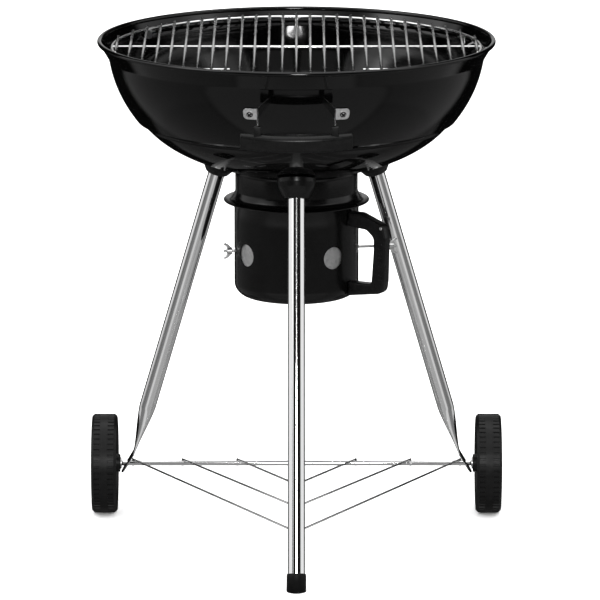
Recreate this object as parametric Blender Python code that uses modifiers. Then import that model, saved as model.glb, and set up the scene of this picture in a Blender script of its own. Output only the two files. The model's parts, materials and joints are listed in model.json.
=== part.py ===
"""Kettle charcoal grill: bowl, grates, three tube legs, two wheels, a wire rack and an ash pot.

Units are metres and +Z is up. The grill faces -Y. Azimuths are measured about the kettle's
axis from the front (-Y) towards the right-hand side (+X). The origin is on the floor, in the
middle of the outline. Depths in the bowl are measured down from the centre of the rim bead.
"""

import math
from collections import namedtuple

import bmesh
import bpy
from mathutils import Matrix, Vector

Dish = namedtuple("Dish", "radius height centre")
Finish = namedtuple("Finish", "colour roughness metallic")

GAP = 0.0003
SHEET = 0.0014

# Bowl
RIM_Z = 0.750
RIM_R = 0.2890
BEAD_R = 0.0035
SHOULDER_R = 0.2757
SHOULDER_DEPTH = 0.024
UPPER_WALL = Dish(radius=0.2770, height=0.2175, centre=0.0)
LOWER_WALL = Dish(radius=0.2424, height=0.1250, centre=0.0741)
UPPER_WALL_TOP = 0.030
STEP_TOP = 0.116
STEP_BOTTOM = 0.125
WALL_END_R = 0.098
NECK_BEND = 0.0022

# Cooking grate
GRATE_RING_R = 0.271
GRATE_RING_DEPTH = 0.0097
GRATE_RING_WIRE = 0.0024
GRATE_BAR_WIRE = 0.0021
GRATE_BAR_PITCH = 0.0203
GRATE_BAR_COUNT = 27
GRATE_REACH_R = 0.2735
SHORT_WIRE_Y = -0.1935
SHORT_WIRE_INNER_X = 0.096
GRATE_RING_TURN = math.radians(3.1)
SUPPORT_AZIMUTHS = (114, 234, 354)
SUPPORT_WIDTH = 0.009

# Charcoal grate
COAL_RING_R = 0.2246
COAL_RING_DEPTH = 0.1168
COAL_WIRE = 0.0030
COAL_BAR_PITCH = 0.032
COAL_BAR_COUNT = 13
COAL_CROSS_Y = 0.090
BAR_SINK = 0.0009
CROSS_SINK = 0.0008

# Legs: the axis of each leg meets the bowl at right angles
LEG_TUBE_R = 0.0125
LEG_WALL = 0.0012
LEG_LEAN = math.radians(18.34)
LEG_GROUND_R = 0.3158
LEG_TOP_Z = 0.5695
LEG_AZIMUTHS = {"front": 0, "rear_right": 120, "rear_left": 240}
SOCKET_DEPTH = 0.031
TUBE_TOP = 0.0025
TUBE_END = 0.5900
FOOT_CAP_R = 0.0142
FOOT_CAP_TOP = 0.575
FOOT_CAP_END = 0.620

# Rear legs: (height, half thickness, half width) down the tube, then (drop, half width)
# down the plate below its bend
REAR_TUBE = ((0.5672, 0.0125, 0.0125), (0.165, 0.0125, 0.0125), (0.147, 0.0108, 0.0140),
             (0.120, 0.0068, 0.0165), (0.104, 0.0038, 0.0180))
PLATE_OUTLINE = ((0.004, 0.0185), (0.022, 0.0185), (0.029, 0.0140), (0.0315, 0.0080))
PLATE_BEND_Z = 0.092
PLATE_SPREAD = 0.60
PLATE_HALF_THICK = 0.0014
PLATE_HALF_WIDE = 0.0185
RING_SIDES = 16
BORE_TOP_Z = 0.60
BORE_END_Z = 0.190
AXLE_DRILL_X = (0.23, 0.29)

# Wheels and axle
AXLE_Z = 0.075
AXLE_Y = 0.1455
AXLE_R = 0.004
AXLE_HALF = 0.3075
WHEEL_X = 0.291
WHEEL_R = 0.075
WHEEL_HALF = 0.019
HUB_R = 0.0135

# Wire rack
RACK_WIRE = 0.0016
RACK_HOOK_X = {"outer": 0.2485, "middle": 0.1730, "inner": 0.0900}
RACK_APEX_Y = {"outer": -0.2700, "middle": -0.1300, "inner": -0.0020}
RACK_FRONT_DROP = 0.0045
SPINE_DROP = 0.0040

# Ash collar and pot
NECK_R = 0.0905
NECK_SEAM_Z = 0.5545
FLANGE_R = 0.1075
FLANGE_Z = 0.5125
SPIGOT_R = 0.0900
SPIGOT_BOTTOM_Z = 0.4970
POT_R = 0.0919
POT_WALL = 0.0012
POT_BOTTOM_Z = 0.3696
POT_CORNER_R = 0.020
VENT_Z = 0.4390
VENT_R = 0.0165
VENT_AZIMUTHS = (36.3, 126.3, 216.3, 306.3)
DAMPER_TURN = 22
DAMPER_R = 0.0902
DAMPER_HALF_HEIGHT = 0.032

# Damper rod: its right-hand end is the lever
ROD_Z = 0.4380
ROD_R = 0.0020
ROD_AZIMUTH = 99
ROD_RIGHT = 0.1510
ROD_LEFT = 0.1090
NUT_RIGHT = 0.1385
NUT_LEFT = 0.0965

# Pot handle, in the upright plane at its azimuth
HANDLE_AZIMUTH = 60
HANDLE_HALF_WIDE = 0.0090
HANDLE_FOOT_R = POT_R + 0.0006
HANDLE_SCREWS = {"upper": (0.4925, 0.0904), "lower": (0.3895, 0.0891)}
POT_SCREW_HOLE_R = 0.0021
PIN_CENTRE = (0.1475, 0.4845)

# How far the radial cutters reach, from the kettle's axis
THROUGH_POT_WALL = (0.085, 0.097)
INTO_HANDLE = (0.088, 0.1085)

# Bowl handle: the arms are flat strips that reach from the tabs to the back of the grip
TAB_AZIMUTH = 14.35
TAB_DEPTH = 0.0615
TAB_THICK = 0.0018
TAB_INNER = 0.0108
TAB_OUTER = 0.0098
TAB_HALF_TALL = 0.0090
ARM_X = 0.0550
ARM_OUTLINE = ((-0.2640, 0.6969), (-0.2579, 0.6801), (-0.3259, 0.6567), (-0.3309, 0.6739))
GRIP_HALF_LENGTH = 0.0795
GRIP_CENTRE = (-0.3390, 0.6603)
GRIP_TILT = math.radians(15)
GRIP_DEEP = 0.0190
GRIP_TALL = 0.0235
GRIP_EDGE = 0.0040
GRIP_FRONT_BOW = 0.0125
GRIP_BACK_BOW = 0.0030
LUG_SIZE = (0.0106, 0.0100, 0.0250)
LUG_CENTRE = (-0.3365, 0.6720)
SCREW_HOLE_R = 0.0029

# The kettle's axis stands behind the origin, which is in the middle of the outline
GRIP_FRONT = 0.3501
KETTLE_Y = (GRIP_FRONT - RIM_R - BEAD_R) / 2

SIDES = {"right": 1, "left": -1}

ENAMEL = Finish((0.012, 0.012, 0.013), 0.12, 0.0)
SATIN_BLACK = Finish((0.020, 0.020, 0.021), 0.45, 0.0)
WHEEL_PLASTIC = Finish((0.022, 0.022, 0.023), 0.55, 0.0)
CHROME = Finish((0.80, 0.80, 0.81), 0.08, 1.0)
WIRE_CHROME = Finish((0.74, 0.74, 0.75), 0.20, 1.0)
ZINC = Finish((0.66, 0.66, 0.67), 0.35, 1.0)
GALVANISED = Finish((0.55, 0.56, 0.57), 0.50, 1.0)
COAL_STEEL = Finish((0.40, 0.40, 0.41), 0.40, 1.0)
SMOOTH_BELOW = math.radians(35)


# ---------------------------------------------------------------- scene and materials

def clear_scene():
    for obj in list(bpy.data.objects):
        bpy.data.objects.remove(obj, do_unlink=True)


def make_collection(name):
    collection = bpy.data.collections.new(name)
    bpy.context.scene.collection.children.link(collection)
    return collection


def make_material(name, finish):
    material = bpy.data.materials.new(name)
    material.use_nodes = True
    shader = material.node_tree.nodes["Principled BSDF"]
    shader.inputs["Base Color"].default_value = (*finish.colour, 1.0)
    shader.inputs["Roughness"].default_value = finish.roughness
    shader.inputs["Metallic"].default_value = finish.metallic
    return material


def make_object(name, data, parent, matrix=None, collection=None):
    obj = bpy.data.objects.new(name, data)
    (collection or PARTS).objects.link(obj)
    obj.parent = parent
    obj.matrix_local = matrix or Matrix()
    return obj


def shade(mesh):
    mesh.shade_smooth()
    mesh.set_sharp_from_angle(angle=SMOOTH_BELOW)


def finish_part(obj, finish):
    obj.data.materials.append(make_material(obj.name + "_finish", finish))
    return obj


# ---------------------------------------------------------------- outlines and profiles

def arc(centre, radius, start, end, count):
    """Points on an arc between two angles in degrees, both ends included."""
    angles = [math.radians(start + (end - start) * i / (count - 1)) for i in range(count)]
    return [(centre[0] + radius * math.cos(a), centre[1] + radius * math.sin(a)) for a in angles]


def rounded(corners, segments=3):
    """An outline from (x, y, corner radius) points, with an arc at each rounded corner."""
    points = []
    for i, (x, y, radius) in enumerate(corners):
        here = Vector((x, y))
        if radius == 0:
            points.append((x, y))
            continue
        before = (Vector(corners[i - 1][:2]) - here).normalized()
        after = (Vector(corners[(i + 1) % len(corners)][:2]) - here).normalized()
        half = before.angle(after) / 2
        centre = here + (before + after).normalized() * (radius / math.sin(half))
        start = here + before * (radius / math.tan(half)) - centre
        turn = start.angle_signed(here + after * (radius / math.tan(half)) - centre)
        for k in range(segments + 1):
            spoke = start.copy()
            spoke.rotate(Matrix.Rotation(-turn * k / segments, 2))
            points.append(tuple(centre + spoke))
    return points


def dish_wall(dish, depth_from, depth_to, count):
    """Points (radius, z) down an elliptical wall between two depths."""
    first = math.asin((depth_from - dish.centre) / dish.height)
    last = math.asin((depth_to - dish.centre) / dish.height)
    points = []
    for i in range(count):
        angle = first + (last - first) * i / (count - 1)
        radius = dish.radius * math.cos(angle)
        points.append((radius, RIM_Z - dish.centre - dish.height * math.sin(angle)))
    return points


def dish_radius(dish, depth):
    return dish.radius * math.sqrt(1 - ((depth - dish.centre) / dish.height) ** 2)


def dish_depth(dish, radius):
    return dish.centre + dish.height * math.sqrt(1 - (radius / dish.radius) ** 2)


def inset(path, distance):
    """The path moved towards the axis side by the given distance."""
    moved = []
    for i, point in enumerate(path):
        before = Vector(path[max(i - 1, 0)])
        after = Vector(path[min(i + 1, len(path) - 1)])
        along = (after - before).normalized()
        moved.append((point[0] + along.y * distance, point[1] - along.x * distance))
    return moved


def on_axis(azimuth, radius, z):
    """A point from its azimuth in degrees, its radius and its height."""
    angle = math.radians(azimuth)
    return Vector((radius * math.sin(angle), -radius * math.cos(angle), z))


def axes(x_axis, z_axis, origin):
    """A placement whose local X and Z point along the given directions."""
    x_axis = Vector(x_axis).normalized()
    z_axis = Vector(z_axis).normalized()
    y_axis = z_axis.cross(x_axis)
    placement = Matrix((x_axis, y_axis, z_axis)).transposed().to_4x4()
    placement.translation = origin
    return placement


# ---------------------------------------------------------------- solids

def turned(name, profile, steps, finish, parent, matrix=None, closed=True, collection=None):
    """A profile of (radius, height) points, swept about the local Z axis."""
    mesh = bpy.data.meshes.new(name)
    edges = [(i, i + 1) for i in range(len(profile) - 1)]
    if closed:
        edges.append((len(profile) - 1, 0))
    mesh.from_pydata([(r, 0, z) for r, z in profile], edges, [])
    obj = make_object(name, mesh, parent, matrix, collection)
    screw = obj.modifiers.new("turn", "SCREW")
    screw.axis = "Z"
    screw.angle = math.tau
    screw.steps = steps
    screw.render_steps = steps
    screw.use_merge_vertices = True
    screw.merge_threshold = 0.00001
    screw.use_smooth_shade = True
    return finish_part(obj, finish)


def wire(name, points, radius, finish, parent, resolution=2):
    """A round wire through the given points, with closed ends."""
    curve = bpy.data.curves.new(name, "CURVE")
    curve.dimensions = "3D"
    curve.bevel_depth = radius
    curve.bevel_resolution = resolution
    curve.use_fill_caps = True
    spline = curve.splines.new("POLY")
    spline.points.add(len(points) - 1)
    for point, place in zip(spline.points, points):
        point.co = (*place, 1.0)
    return finish_part(make_object(name, curve, parent), finish)


def plate(name, outline, thickness, finish, parent, matrix, edge=0.0, collection=None):
    """A flat outline in the local XY plane, thickened both ways, with optional rounded edges."""
    curve = bpy.data.curves.new(name, "CURVE")
    curve.dimensions = "2D"
    curve.fill_mode = "BOTH"
    curve.extrude = thickness / 2 - edge
    curve.bevel_depth = edge
    curve.bevel_resolution = 1
    curve.offset = -edge
    spline = curve.splines.new("POLY")
    spline.points.add(len(outline) - 1)
    spline.use_cyclic_u = True
    for point, (x, y) in zip(spline.points, outline):
        point.co = (x, y, 0.0, 1.0)
    return finish_part(make_object(name, curve, parent, matrix, collection), finish)


def as_mesh(obj):
    """The same object with its curve and modifiers turned into a welded mesh."""
    bpy.context.view_layer.update()
    evaluated = obj.evaluated_get(bpy.context.evaluated_depsgraph_get())
    mesh = bpy.data.meshes.new_from_object(evaluated)
    welded = bmesh.new()
    welded.from_mesh(mesh)
    bmesh.ops.remove_doubles(welded, verts=welded.verts, dist=0.00001)
    welded.to_mesh(mesh)
    welded.free()
    shade(mesh)
    name = obj.name
    parent = obj.parent
    matrix = obj.matrix_world.copy()
    collection = obj.users_collection[0]
    bpy.data.objects.remove(obj, do_unlink=True)
    solid = make_object(name, mesh, parent, None, collection)
    bpy.context.view_layer.update()
    solid.matrix_world = matrix
    return solid


def guide(obj):
    """Marks a cutter or a joined-in body, which isn't a piece of the grill."""
    obj.hide_render = True
    obj.display_type = "WIRE"
    return obj


def bar_tool(name, radius, start, end, parent, sides=20):
    """A cylinder between two points, for cutting a hole or joining a pin."""
    start = Vector(start)
    end = Vector(end)
    mesh = bpy.data.meshes.new(name)
    body = bmesh.new()
    length = (end - start).length
    bmesh.ops.create_cone(
        body, cap_ends=True, segments=sides, radius1=radius, radius2=radius, depth=length)
    body.to_mesh(mesh)
    body.free()
    turn = (end - start).to_track_quat("Z", "Y").to_matrix().to_4x4()
    matrix = Matrix.Translation((start + end) / 2) @ turn
    return guide(make_object(name, mesh, parent, matrix, TOOLS))


def box_tool(name, size, parent, matrix):
    mesh = bpy.data.meshes.new(name)
    body = bmesh.new()
    bmesh.ops.create_cube(body, size=1.0, matrix=Matrix.Diagonal((*size, 1.0)))
    body.to_mesh(mesh)
    body.free()
    return guide(make_object(name, mesh, parent, matrix, TOOLS))


def combine(target, tools, operation):
    for tool in tools:
        step = target.modifiers.new(operation.lower(), "BOOLEAN")
        step.operation = operation
        step.solver = "EXACT"
        step.object = tool
    return target


# ---------------------------------------------------------------- bowl and grates

def bowl_wall():
    """The outside of the bowl's wall, from under the rim bead down to the drawn neck."""
    path = [(SHOULDER_R, RIM_Z - SHOULDER_DEPTH)]
    path += dish_wall(UPPER_WALL, UPPER_WALL_TOP, STEP_TOP, 5)
    path += dish_wall(LOWER_WALL, STEP_BOTTOM, dish_depth(LOWER_WALL, WALL_END_R), 6)
    neck_top = RIM_Z - dish_depth(LOWER_WALL, NECK_R)
    path.append((NECK_R + NECK_BEND, neck_top - NECK_BEND / 10))
    path.append((NECK_R, neck_top - NECK_BEND))
    path.append((NECK_R, NECK_SEAM_Z + GAP))
    return path


def make_bowl():
    flange = math.degrees(math.atan2(-SHOULDER_DEPTH, SHOULDER_R - RIM_R))
    mouth = math.degrees(math.asin(SHEET / 2 / BEAD_R))
    bead = arc((RIM_R, RIM_Z), BEAD_R, flange + 360 - mouth, flange + mouth, 8)
    outside = bead[-1:] + bowl_wall()
    inside = inset(outside, SHEET)[1:]
    bowl = turned("bowl", bead[:-1] + outside + inside[::-1], 40, ENAMEL, KETTLE)
    holes = [bar_tool(f"bowl_screw_hole_{side}", SCREW_HOLE_R, *handle_screw_line(side), KETTLE, 12)
             for side in SIDES]
    return combine(bowl, holes, "DIFFERENCE")


def make_grate_support(index, azimuth):
    """An angle bracket on the inner wall that carries the cooking grate's ring."""
    shelf = -(GRATE_RING_DEPTH + GRATE_RING_WIRE + GAP)
    outline = [(0.2640, shelf), (0.2640, shelf - 0.0018), (0.2705, shelf - 0.0018),
               (0.2705, shelf - 0.0120), (0.2723, shelf - 0.0120), (0.2723, shelf - 0.0018),
               (0.2783, shelf - 0.0018), (0.2783, shelf)]
    radial = on_axis(azimuth, 1, 0)
    across = radial.cross(Vector((0, 0, 1)))
    placement = axes(radial, across, (0, 0, RIM_Z))
    plate(f"grate_support_{index}", outline, SUPPORT_WIDTH, ZINC, KETTLE, placement)


def ring_section(radius, wire_radius, z, sides=6):
    return arc((radius, z), wire_radius, 90, 90 - 360 * (sides - 1) / sides, sides)


def make_grate(name, ring_r, ring_z, ring_wire, bar_wire, bars, crosses, finish):
    """A ring with parallel bars welded on top, and cross wires under the bars."""
    off_the_bars = Matrix.Rotation(GRATE_RING_TURN, 4, "Z")
    grate = turned(name, ring_section(ring_r, ring_wire, ring_z), 36, finish, KETTLE, off_the_bars)
    bar_z = ring_z + ring_wire + bar_wire - BAR_SINK
    cross_z = bar_z - 2 * bar_wire + CROSS_SINK
    tools = []
    for group, lines, z in (("bars", bars, bar_z), ("crosses", crosses, cross_z)):
        mesh = bpy.data.meshes.new(f"{name}_{group}")
        body = bmesh.new()
        for start, end in lines:
            start = Vector((*start, z))
            end = Vector((*end, z))
            turn = (end - start).to_track_quat("Z", "Y").to_matrix().to_4x4()
            bmesh.ops.create_cone(
                body, cap_ends=True, segments=6, radius1=bar_wire, radius2=bar_wire,
                depth=(end - start).length, matrix=Matrix.Translation((start + end) / 2) @ turn)
        body.to_mesh(mesh)
        body.free()
        tools.append(guide(make_object(f"{name}_{group}", mesh, KETTLE, None, TOOLS)))
    return combine(grate, tools, "UNION")


def bar_lines(pitch, count, reach):
    lines = []
    for i in range(count):
        x = (i - (count - 1) / 2) * pitch
        half = math.sqrt(reach ** 2 - x ** 2)
        lines.append(((x, -half), (x, half)))
    return lines


def make_cooking_grate():
    bars = bar_lines(GRATE_BAR_PITCH, GRATE_BAR_COUNT, GRATE_REACH_R)
    end = math.sqrt(GRATE_RING_R ** 2 - SHORT_WIRE_Y ** 2)
    crosses = [((-GRATE_RING_R, 0.0), (GRATE_RING_R, 0.0)),
               ((-end, SHORT_WIRE_Y), (-SHORT_WIRE_INNER_X, SHORT_WIRE_Y)),
               ((SHORT_WIRE_INNER_X, SHORT_WIRE_Y), (end, SHORT_WIRE_Y))]
    make_grate("cooking_grate", GRATE_RING_R, RIM_Z - GRATE_RING_DEPTH, GRATE_RING_WIRE,
               GRATE_BAR_WIRE, bars, crosses, WIRE_CHROME)


def make_charcoal_grate():
    bars = bar_lines(COAL_BAR_PITCH, COAL_BAR_COUNT, COAL_RING_R)
    end = math.sqrt(COAL_RING_R ** 2 - COAL_CROSS_Y ** 2)
    crosses = [((-end, y), (end, y)) for y in (-COAL_CROSS_Y, COAL_CROSS_Y)]
    make_grate("charcoal_grate", COAL_RING_R, RIM_Z - COAL_RING_DEPTH, COAL_WIRE,
               COAL_WIRE, bars, crosses, COAL_STEEL)


# ---------------------------------------------------------------- bowl handle

def tab_placement(side):
    """Local Z is the bowl's outward normal at the tab, and local Y runs up the wall."""
    azimuth = TAB_AZIMUTH * SIDES[side]
    radius = dish_radius(UPPER_WALL, TAB_DEPTH)
    rise = (TAB_DEPTH - UPPER_WALL.centre) / UPPER_WALL.height
    slope = UPPER_WALL.radius / UPPER_WALL.height * rise / math.sqrt(1 - rise ** 2)
    normal = on_axis(azimuth, 1, -slope)
    return axes(on_axis(azimuth + 90, 1, 0), normal, on_axis(azimuth, radius, RIM_Z - TAB_DEPTH))


def handle_screw_line(side):
    placement = tab_placement(side)
    return placement @ Vector((0, 0, -0.012)), placement @ Vector((0, 0, 0.012))


def make_handle_bracket(side):
    """A rounded tab on the bowl's wall, and a strip that stands out from its inner edge."""
    sign = SIDES[side]
    inner = -sign * TAB_INNER
    outer = sign * TAB_OUTER
    tall = TAB_HALF_TALL
    corners = [(inner, tall, 0), (inner, -tall, 0), (outer, -tall, 0.006), (outer, tall, 0.006)]
    tab_at = tab_placement(side) @ Matrix.Translation((0, 0, GAP + TAB_THICK / 2))
    tab = as_mesh(plate(f"bowl_handle_bracket_{side}", rounded(corners, 4), TAB_THICK, ZINC,
                        KETTLE, tab_at))
    upright = axes((0, 1, 0), (1, 0, 0), (sign * ARM_X, 0, 0))
    arm = as_mesh(plate(f"bracket_arm_{side}", ARM_OUTLINE, TAB_THICK, ZINC, KETTLE, upright,
                        collection=TOOLS))
    hole = bar_tool(f"tab_hole_{side}", SCREW_HOLE_R, *handle_screw_line(side), KETTLE, 12)
    combine(tab, [guide(arm)], "UNION")
    combine(tab, [hole], "DIFFERENCE")


def make_handle_fasteners(side):
    """A pan-head screw through the tab and the bowl, and its nut inside."""
    placement = tab_placement(side)
    seat = GAP + TAB_THICK + GAP
    screw = [(0, seat + 0.0026), (0.0028, seat + 0.0022), (0.0044, seat + 0.0010), (0.0046, seat),
             (0.0025, seat), (0.0025, -0.0100), (0, -0.0100)]
    turned(f"bowl_handle_screw_{side}", screw, 16, ZINC, KETTLE, placement, closed=False)
    face = -SHEET - 0.0013
    nut = [(0.0033, face), (0.0050, face), (0.0050, face - 0.0040), (0.0033, face - 0.0040)]
    turned(f"bowl_handle_nut_{side}", nut, 6, ZINC, KETTLE, placement)


def bowed_edge(middle, bow, sign):
    """An arc along the grip whose ends lie back from its middle by the bow."""
    radius = (GRIP_HALF_LENGTH ** 2 + bow ** 2) / (2 * bow)
    half = sign * math.degrees(math.asin(GRIP_HALF_LENGTH / radius))
    return arc((0, middle + radius), radius, 270 - half, 270 + half, 11)


def make_grip():
    """A bowed grip, thickest and lowest in its middle, with a lug at each arm."""
    front = bowed_edge(-GRIP_DEEP / 2, GRIP_FRONT_BOW, 1)
    back = bowed_edge(GRIP_DEEP / 2, GRIP_BACK_BOW, -1)
    placement = Matrix.Translation((0, *GRIP_CENTRE)) @ Matrix.Rotation(GRIP_TILT, 4, "X")
    grip = as_mesh(plate("bowl_handle_grip", front + back, GRIP_TALL, SATIN_BLACK, KETTLE,
                         placement, edge=GRIP_EDGE))
    lugs = [box_tool(f"grip_lug_{side}", LUG_SIZE, KETTLE,
                     Matrix.Translation((sign * ARM_X, *LUG_CENTRE)))
            for side, sign in SIDES.items()]
    combine(grip, lugs, "UNION")


# ---------------------------------------------------------------- legs, wheels and rack

def leg_radius(z):
    """Distance from the kettle's axis to a leg's axis at a height."""
    return LEG_GROUND_R - math.tan(LEG_LEAN) * z


def leg_centre(azimuth, z):
    return on_axis(azimuth, leg_radius(z), z)


def leg_placement(azimuth):
    """Local -Z runs down the leg from the point where its axis meets the bowl."""
    turn = Matrix.Rotation(math.radians(azimuth), 4, "Z") @ Matrix.Rotation(-LEG_LEAN, 4, "X")
    return Matrix.Translation(leg_centre(azimuth, LEG_TOP_Z)) @ turn


def make_socket(name, azimuth):
    inner = LEG_TUBE_R + GAP
    profile = [(inner, -0.0008), (0.0270, -0.0008), (0.0284, -0.0022), (0.0279, -0.0085),
               (0.0261, -0.0150), (0.0225, -0.0225), (0.0168, -SOCKET_DEPTH),
               (inner, -SOCKET_DEPTH)]
    turned(f"leg_socket_{name}", profile, 20, SATIN_BLACK, KETTLE, leg_placement(azimuth))


def make_front_leg():
    bore = LEG_TUBE_R - LEG_WALL
    profile = [(bore, -TUBE_TOP), (LEG_TUBE_R, -TUBE_TOP), (LEG_TUBE_R, -TUBE_END), (bore, -TUBE_END)]
    leg = turned("leg_front", profile, 24, CHROME, KETTLE, leg_placement(0))
    z = AXLE_Z - SPINE_DROP
    y = -leg_radius(z)
    hole = bar_tool("spine_hole", RACK_WIRE + GAP, (0, y + 0.02, z), (0, y, z), KETTLE, 12)
    combine(leg, [hole], "DIFFERENCE")


def rear_leg_stations(azimuth, sign):
    """(centre, half thickness, half width) down the leg: round tube, squeeze, bent plate."""
    bend = leg_centre(azimuth, PLATE_BEND_Z)
    stations = [(leg_centre(azimuth, z), thin, wide) for z, thin, wide in REAR_TUBE]
    stations.append((bend, PLATE_HALF_THICK, PLATE_HALF_WIDE))
    for drop, wide in PLATE_OUTLINE:
        place = bend + Vector((sign * PLATE_SPREAD * drop, 0.0, -drop))
        stations.append((place, PLATE_HALF_THICK, wide))
    return stations


def skinned(name, stations):
    """A closed mesh through elliptical rings, their width measured along Y."""
    body = bmesh.new()
    rings = []
    for i, (centre, thin, wide) in enumerate(stations):
        before = stations[max(i - 1, 0)][0]
        after = stations[min(i + 1, len(stations) - 1)][0]
        along = (after - before).normalized()
        across = along.cross(Vector((0, 1, 0))).normalized()
        depth = across.cross(along)
        angles = [math.tau * k / RING_SIDES for k in range(RING_SIDES)]
        rings.append([body.verts.new(centre + across * thin * math.cos(a) + depth * wide * math.sin(a))
                      for a in angles])
    for upper, lower in zip(rings, rings[1:]):
        for k in range(RING_SIDES):
            body.faces.new((upper[k - 1], upper[k], lower[k], lower[k - 1]))
    body.faces.new(rings[0])
    body.faces.new(rings[-1])
    bmesh.ops.recalc_face_normals(body, faces=body.faces)
    mesh = bpy.data.meshes.new(name)
    body.to_mesh(mesh)
    body.free()
    shade(mesh)
    return mesh


def make_rear_leg(name, azimuth):
    """A tube whose lower end is squeezed into a flat plate, bent outwards and drilled."""
    sign = 1 if azimuth < 180 else -1
    mesh = skinned(f"leg_{name}", rear_leg_stations(azimuth, sign))
    leg = finish_part(make_object(f"leg_{name}", mesh, KETTLE), CHROME)
    bore = bar_tool(f"leg_bore_{name}", LEG_TUBE_R - LEG_WALL, leg_centre(azimuth, BORE_TOP_Z),
                    leg_centre(azimuth, BORE_END_Z), KETTLE, 20)
    inner, outer = AXLE_DRILL_X
    drill = bar_tool(f"axle_hole_{name}", AXLE_R + GAP, (sign * inner, AXLE_Y, AXLE_Z),
                     (sign * outer, AXLE_Y, AXLE_Z), KETTLE, 20)
    combine(leg, [bore, drill], "DIFFERENCE")


def make_foot_cap():
    """A moulded cap on the front leg, its underside flat on the floor."""
    hole = LEG_TUBE_R + GAP
    seat = -TUBE_END - GAP
    top = -FOOT_CAP_TOP
    profile = [(0, seat), (hole, seat), (hole, top), (FOOT_CAP_R - 0.0006, top),
               (FOOT_CAP_R, top - 0.003), (FOOT_CAP_R, -FOOT_CAP_END), (0, -FOOT_CAP_END)]
    cap = turned("foot_cap", profile, 24, SATIN_BLACK, KETTLE, leg_placement(0), closed=False)
    below = Matrix.Translation((0, -LEG_GROUND_R, -0.05))
    combine(cap, [box_tool("floor_cut", (0.1, 0.1, 0.1), KETTLE, below)], "DIFFERENCE")


def make_axle():
    profile = [(0, AXLE_HALF), (AXLE_R - 0.0008, AXLE_HALF), (AXLE_R, AXLE_HALF - 0.001),
               (AXLE_R, -AXLE_HALF + 0.001), (AXLE_R - 0.0008, -AXLE_HALF), (0, -AXLE_HALF)]
    sideways = axes((0, 0, -1), (1, 0, 0), (0, AXLE_Y, AXLE_Z))
    turned("axle", profile, 16, CHROME, KETTLE, sideways, closed=False)


def make_wheel_end(side):
    """One wheel, its inner washer and its push-on cap; local Z points outwards."""
    sign = SIDES[side]
    wheel_at = axes((0, 0, -sign), (sign, 0, 0), (sign * WHEEL_X, AXLE_Y, AXLE_Z))
    bore = AXLE_R + GAP
    hub = HUB_R
    face = WHEEL_HALF
    profile = [(bore, 0.0125), (hub, 0.0125), (hub + 0.0012, 0.0050), (0.0560, 0.0050),
               (0.0600, face - 0.003), (0.0640, face), (0.0710, face), (WHEEL_R, face - 0.004),
               (WHEEL_R, -face + 0.004), (0.0710, -face), (0.0640, -face),
               (0.0600, -face + 0.003), (0.0560, -0.0050), (hub + 0.0012, -0.0050),
               (hub, -0.0235), (bore, -0.0235)]
    turned(f"wheel_{side}", profile, 30, WHEEL_PLASTIC, KETTLE, wheel_at)
    cap = [(0, 0.0178), (0.0060, 0.0174), (0.0090, 0.0155), (0.0090, 0.0130),
           (AXLE_R + GAP, 0.0130), (AXLE_R + GAP, 0.0168), (0, 0.0168)]
    turned(f"axle_cap_{side}", cap, 16, ZINC, KETTLE, wheel_at, closed=False)
    washer = [(bore, -0.0238), (0.0085, -0.0238), (0.0085, -0.0254), (bore, -0.0254)]
    turned(f"axle_washer_{side}", washer, 16, ZINC, KETTLE, wheel_at)


def hook_points(x):
    """From behind the axle, up and over it."""
    radius = AXLE_R + GAP + RACK_WIRE
    return [(x, AXLE_Y + y, AXLE_Z + z) for y, z in arc((0, 0), radius, -50, 90, 5)]


def make_rack_wire(name):
    """A V of wire that hooks over the axle at both ends."""
    hook = hook_points(RACK_HOOK_X[name])
    top = hook[-1][2]
    left = [(-x, y, z) for x, y, z in hook]
    apex_y = RACK_APEX_Y[name]
    drop = RACK_FRONT_DROP * (AXLE_Y - apex_y) / (AXLE_Y - RACK_APEX_Y["outer"])
    bend = [(x, apex_y + back, top - drop) for x, back in ((-0.006, 0.004), (0, 0), (0.006, 0.004))]
    wire(f"rack_wire_{name}", left + bend + hook[::-1], RACK_WIRE, CHROME, KETTLE)


def make_rack_spine():
    """The middle wire, from over the axle down to a hole in the back of the front leg."""
    hook = hook_points(0.0)
    z = AXLE_Z - SPINE_DROP
    end = -leg_radius(z) + 0.006
    points = hook + [(0, AXLE_Y - 0.006, hook[-1][2] - 0.0012), (0, AXLE_Y - 0.022, z), (0, end, z)]
    wire("rack_spine", points, RACK_WIRE, CHROME, KETTLE)


# ---------------------------------------------------------------- ash collar, pot and damper

def make_collar():
    neck = [(NECK_R, NECK_SEAM_Z), (NECK_R, FLANGE_Z + 0.0180), (NECK_R + 0.0012, FLANGE_Z + 0.0110),
            (NECK_R + 0.0050, FLANGE_Z + 0.0045), (FLANGE_R - 0.0005, FLANGE_Z + 0.0015)]
    lip = [(FLANGE_R, FLANGE_Z + 0.0007), (FLANGE_R - 0.0005, FLANGE_Z)]
    spigot = [(SPIGOT_R, FLANGE_Z), (SPIGOT_R, SPIGOT_BOTTOM_Z), (SPIGOT_R - SHEET, SPIGOT_BOTTOM_Z),
              (SPIGOT_R - SHEET, NECK_SEAM_Z)]
    turned("ash_collar", neck + lip + spigot, 36, ENAMEL, KETTLE)


def radial_tool(name, azimuth, z, radius, sides, reach=THROUGH_POT_WALL):
    """A cylinder that points at the kettle's axis."""
    near, far = reach
    return bar_tool(name, radius, on_axis(azimuth, near, z), on_axis(azimuth, far, z), KETTLE, sides)


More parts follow.
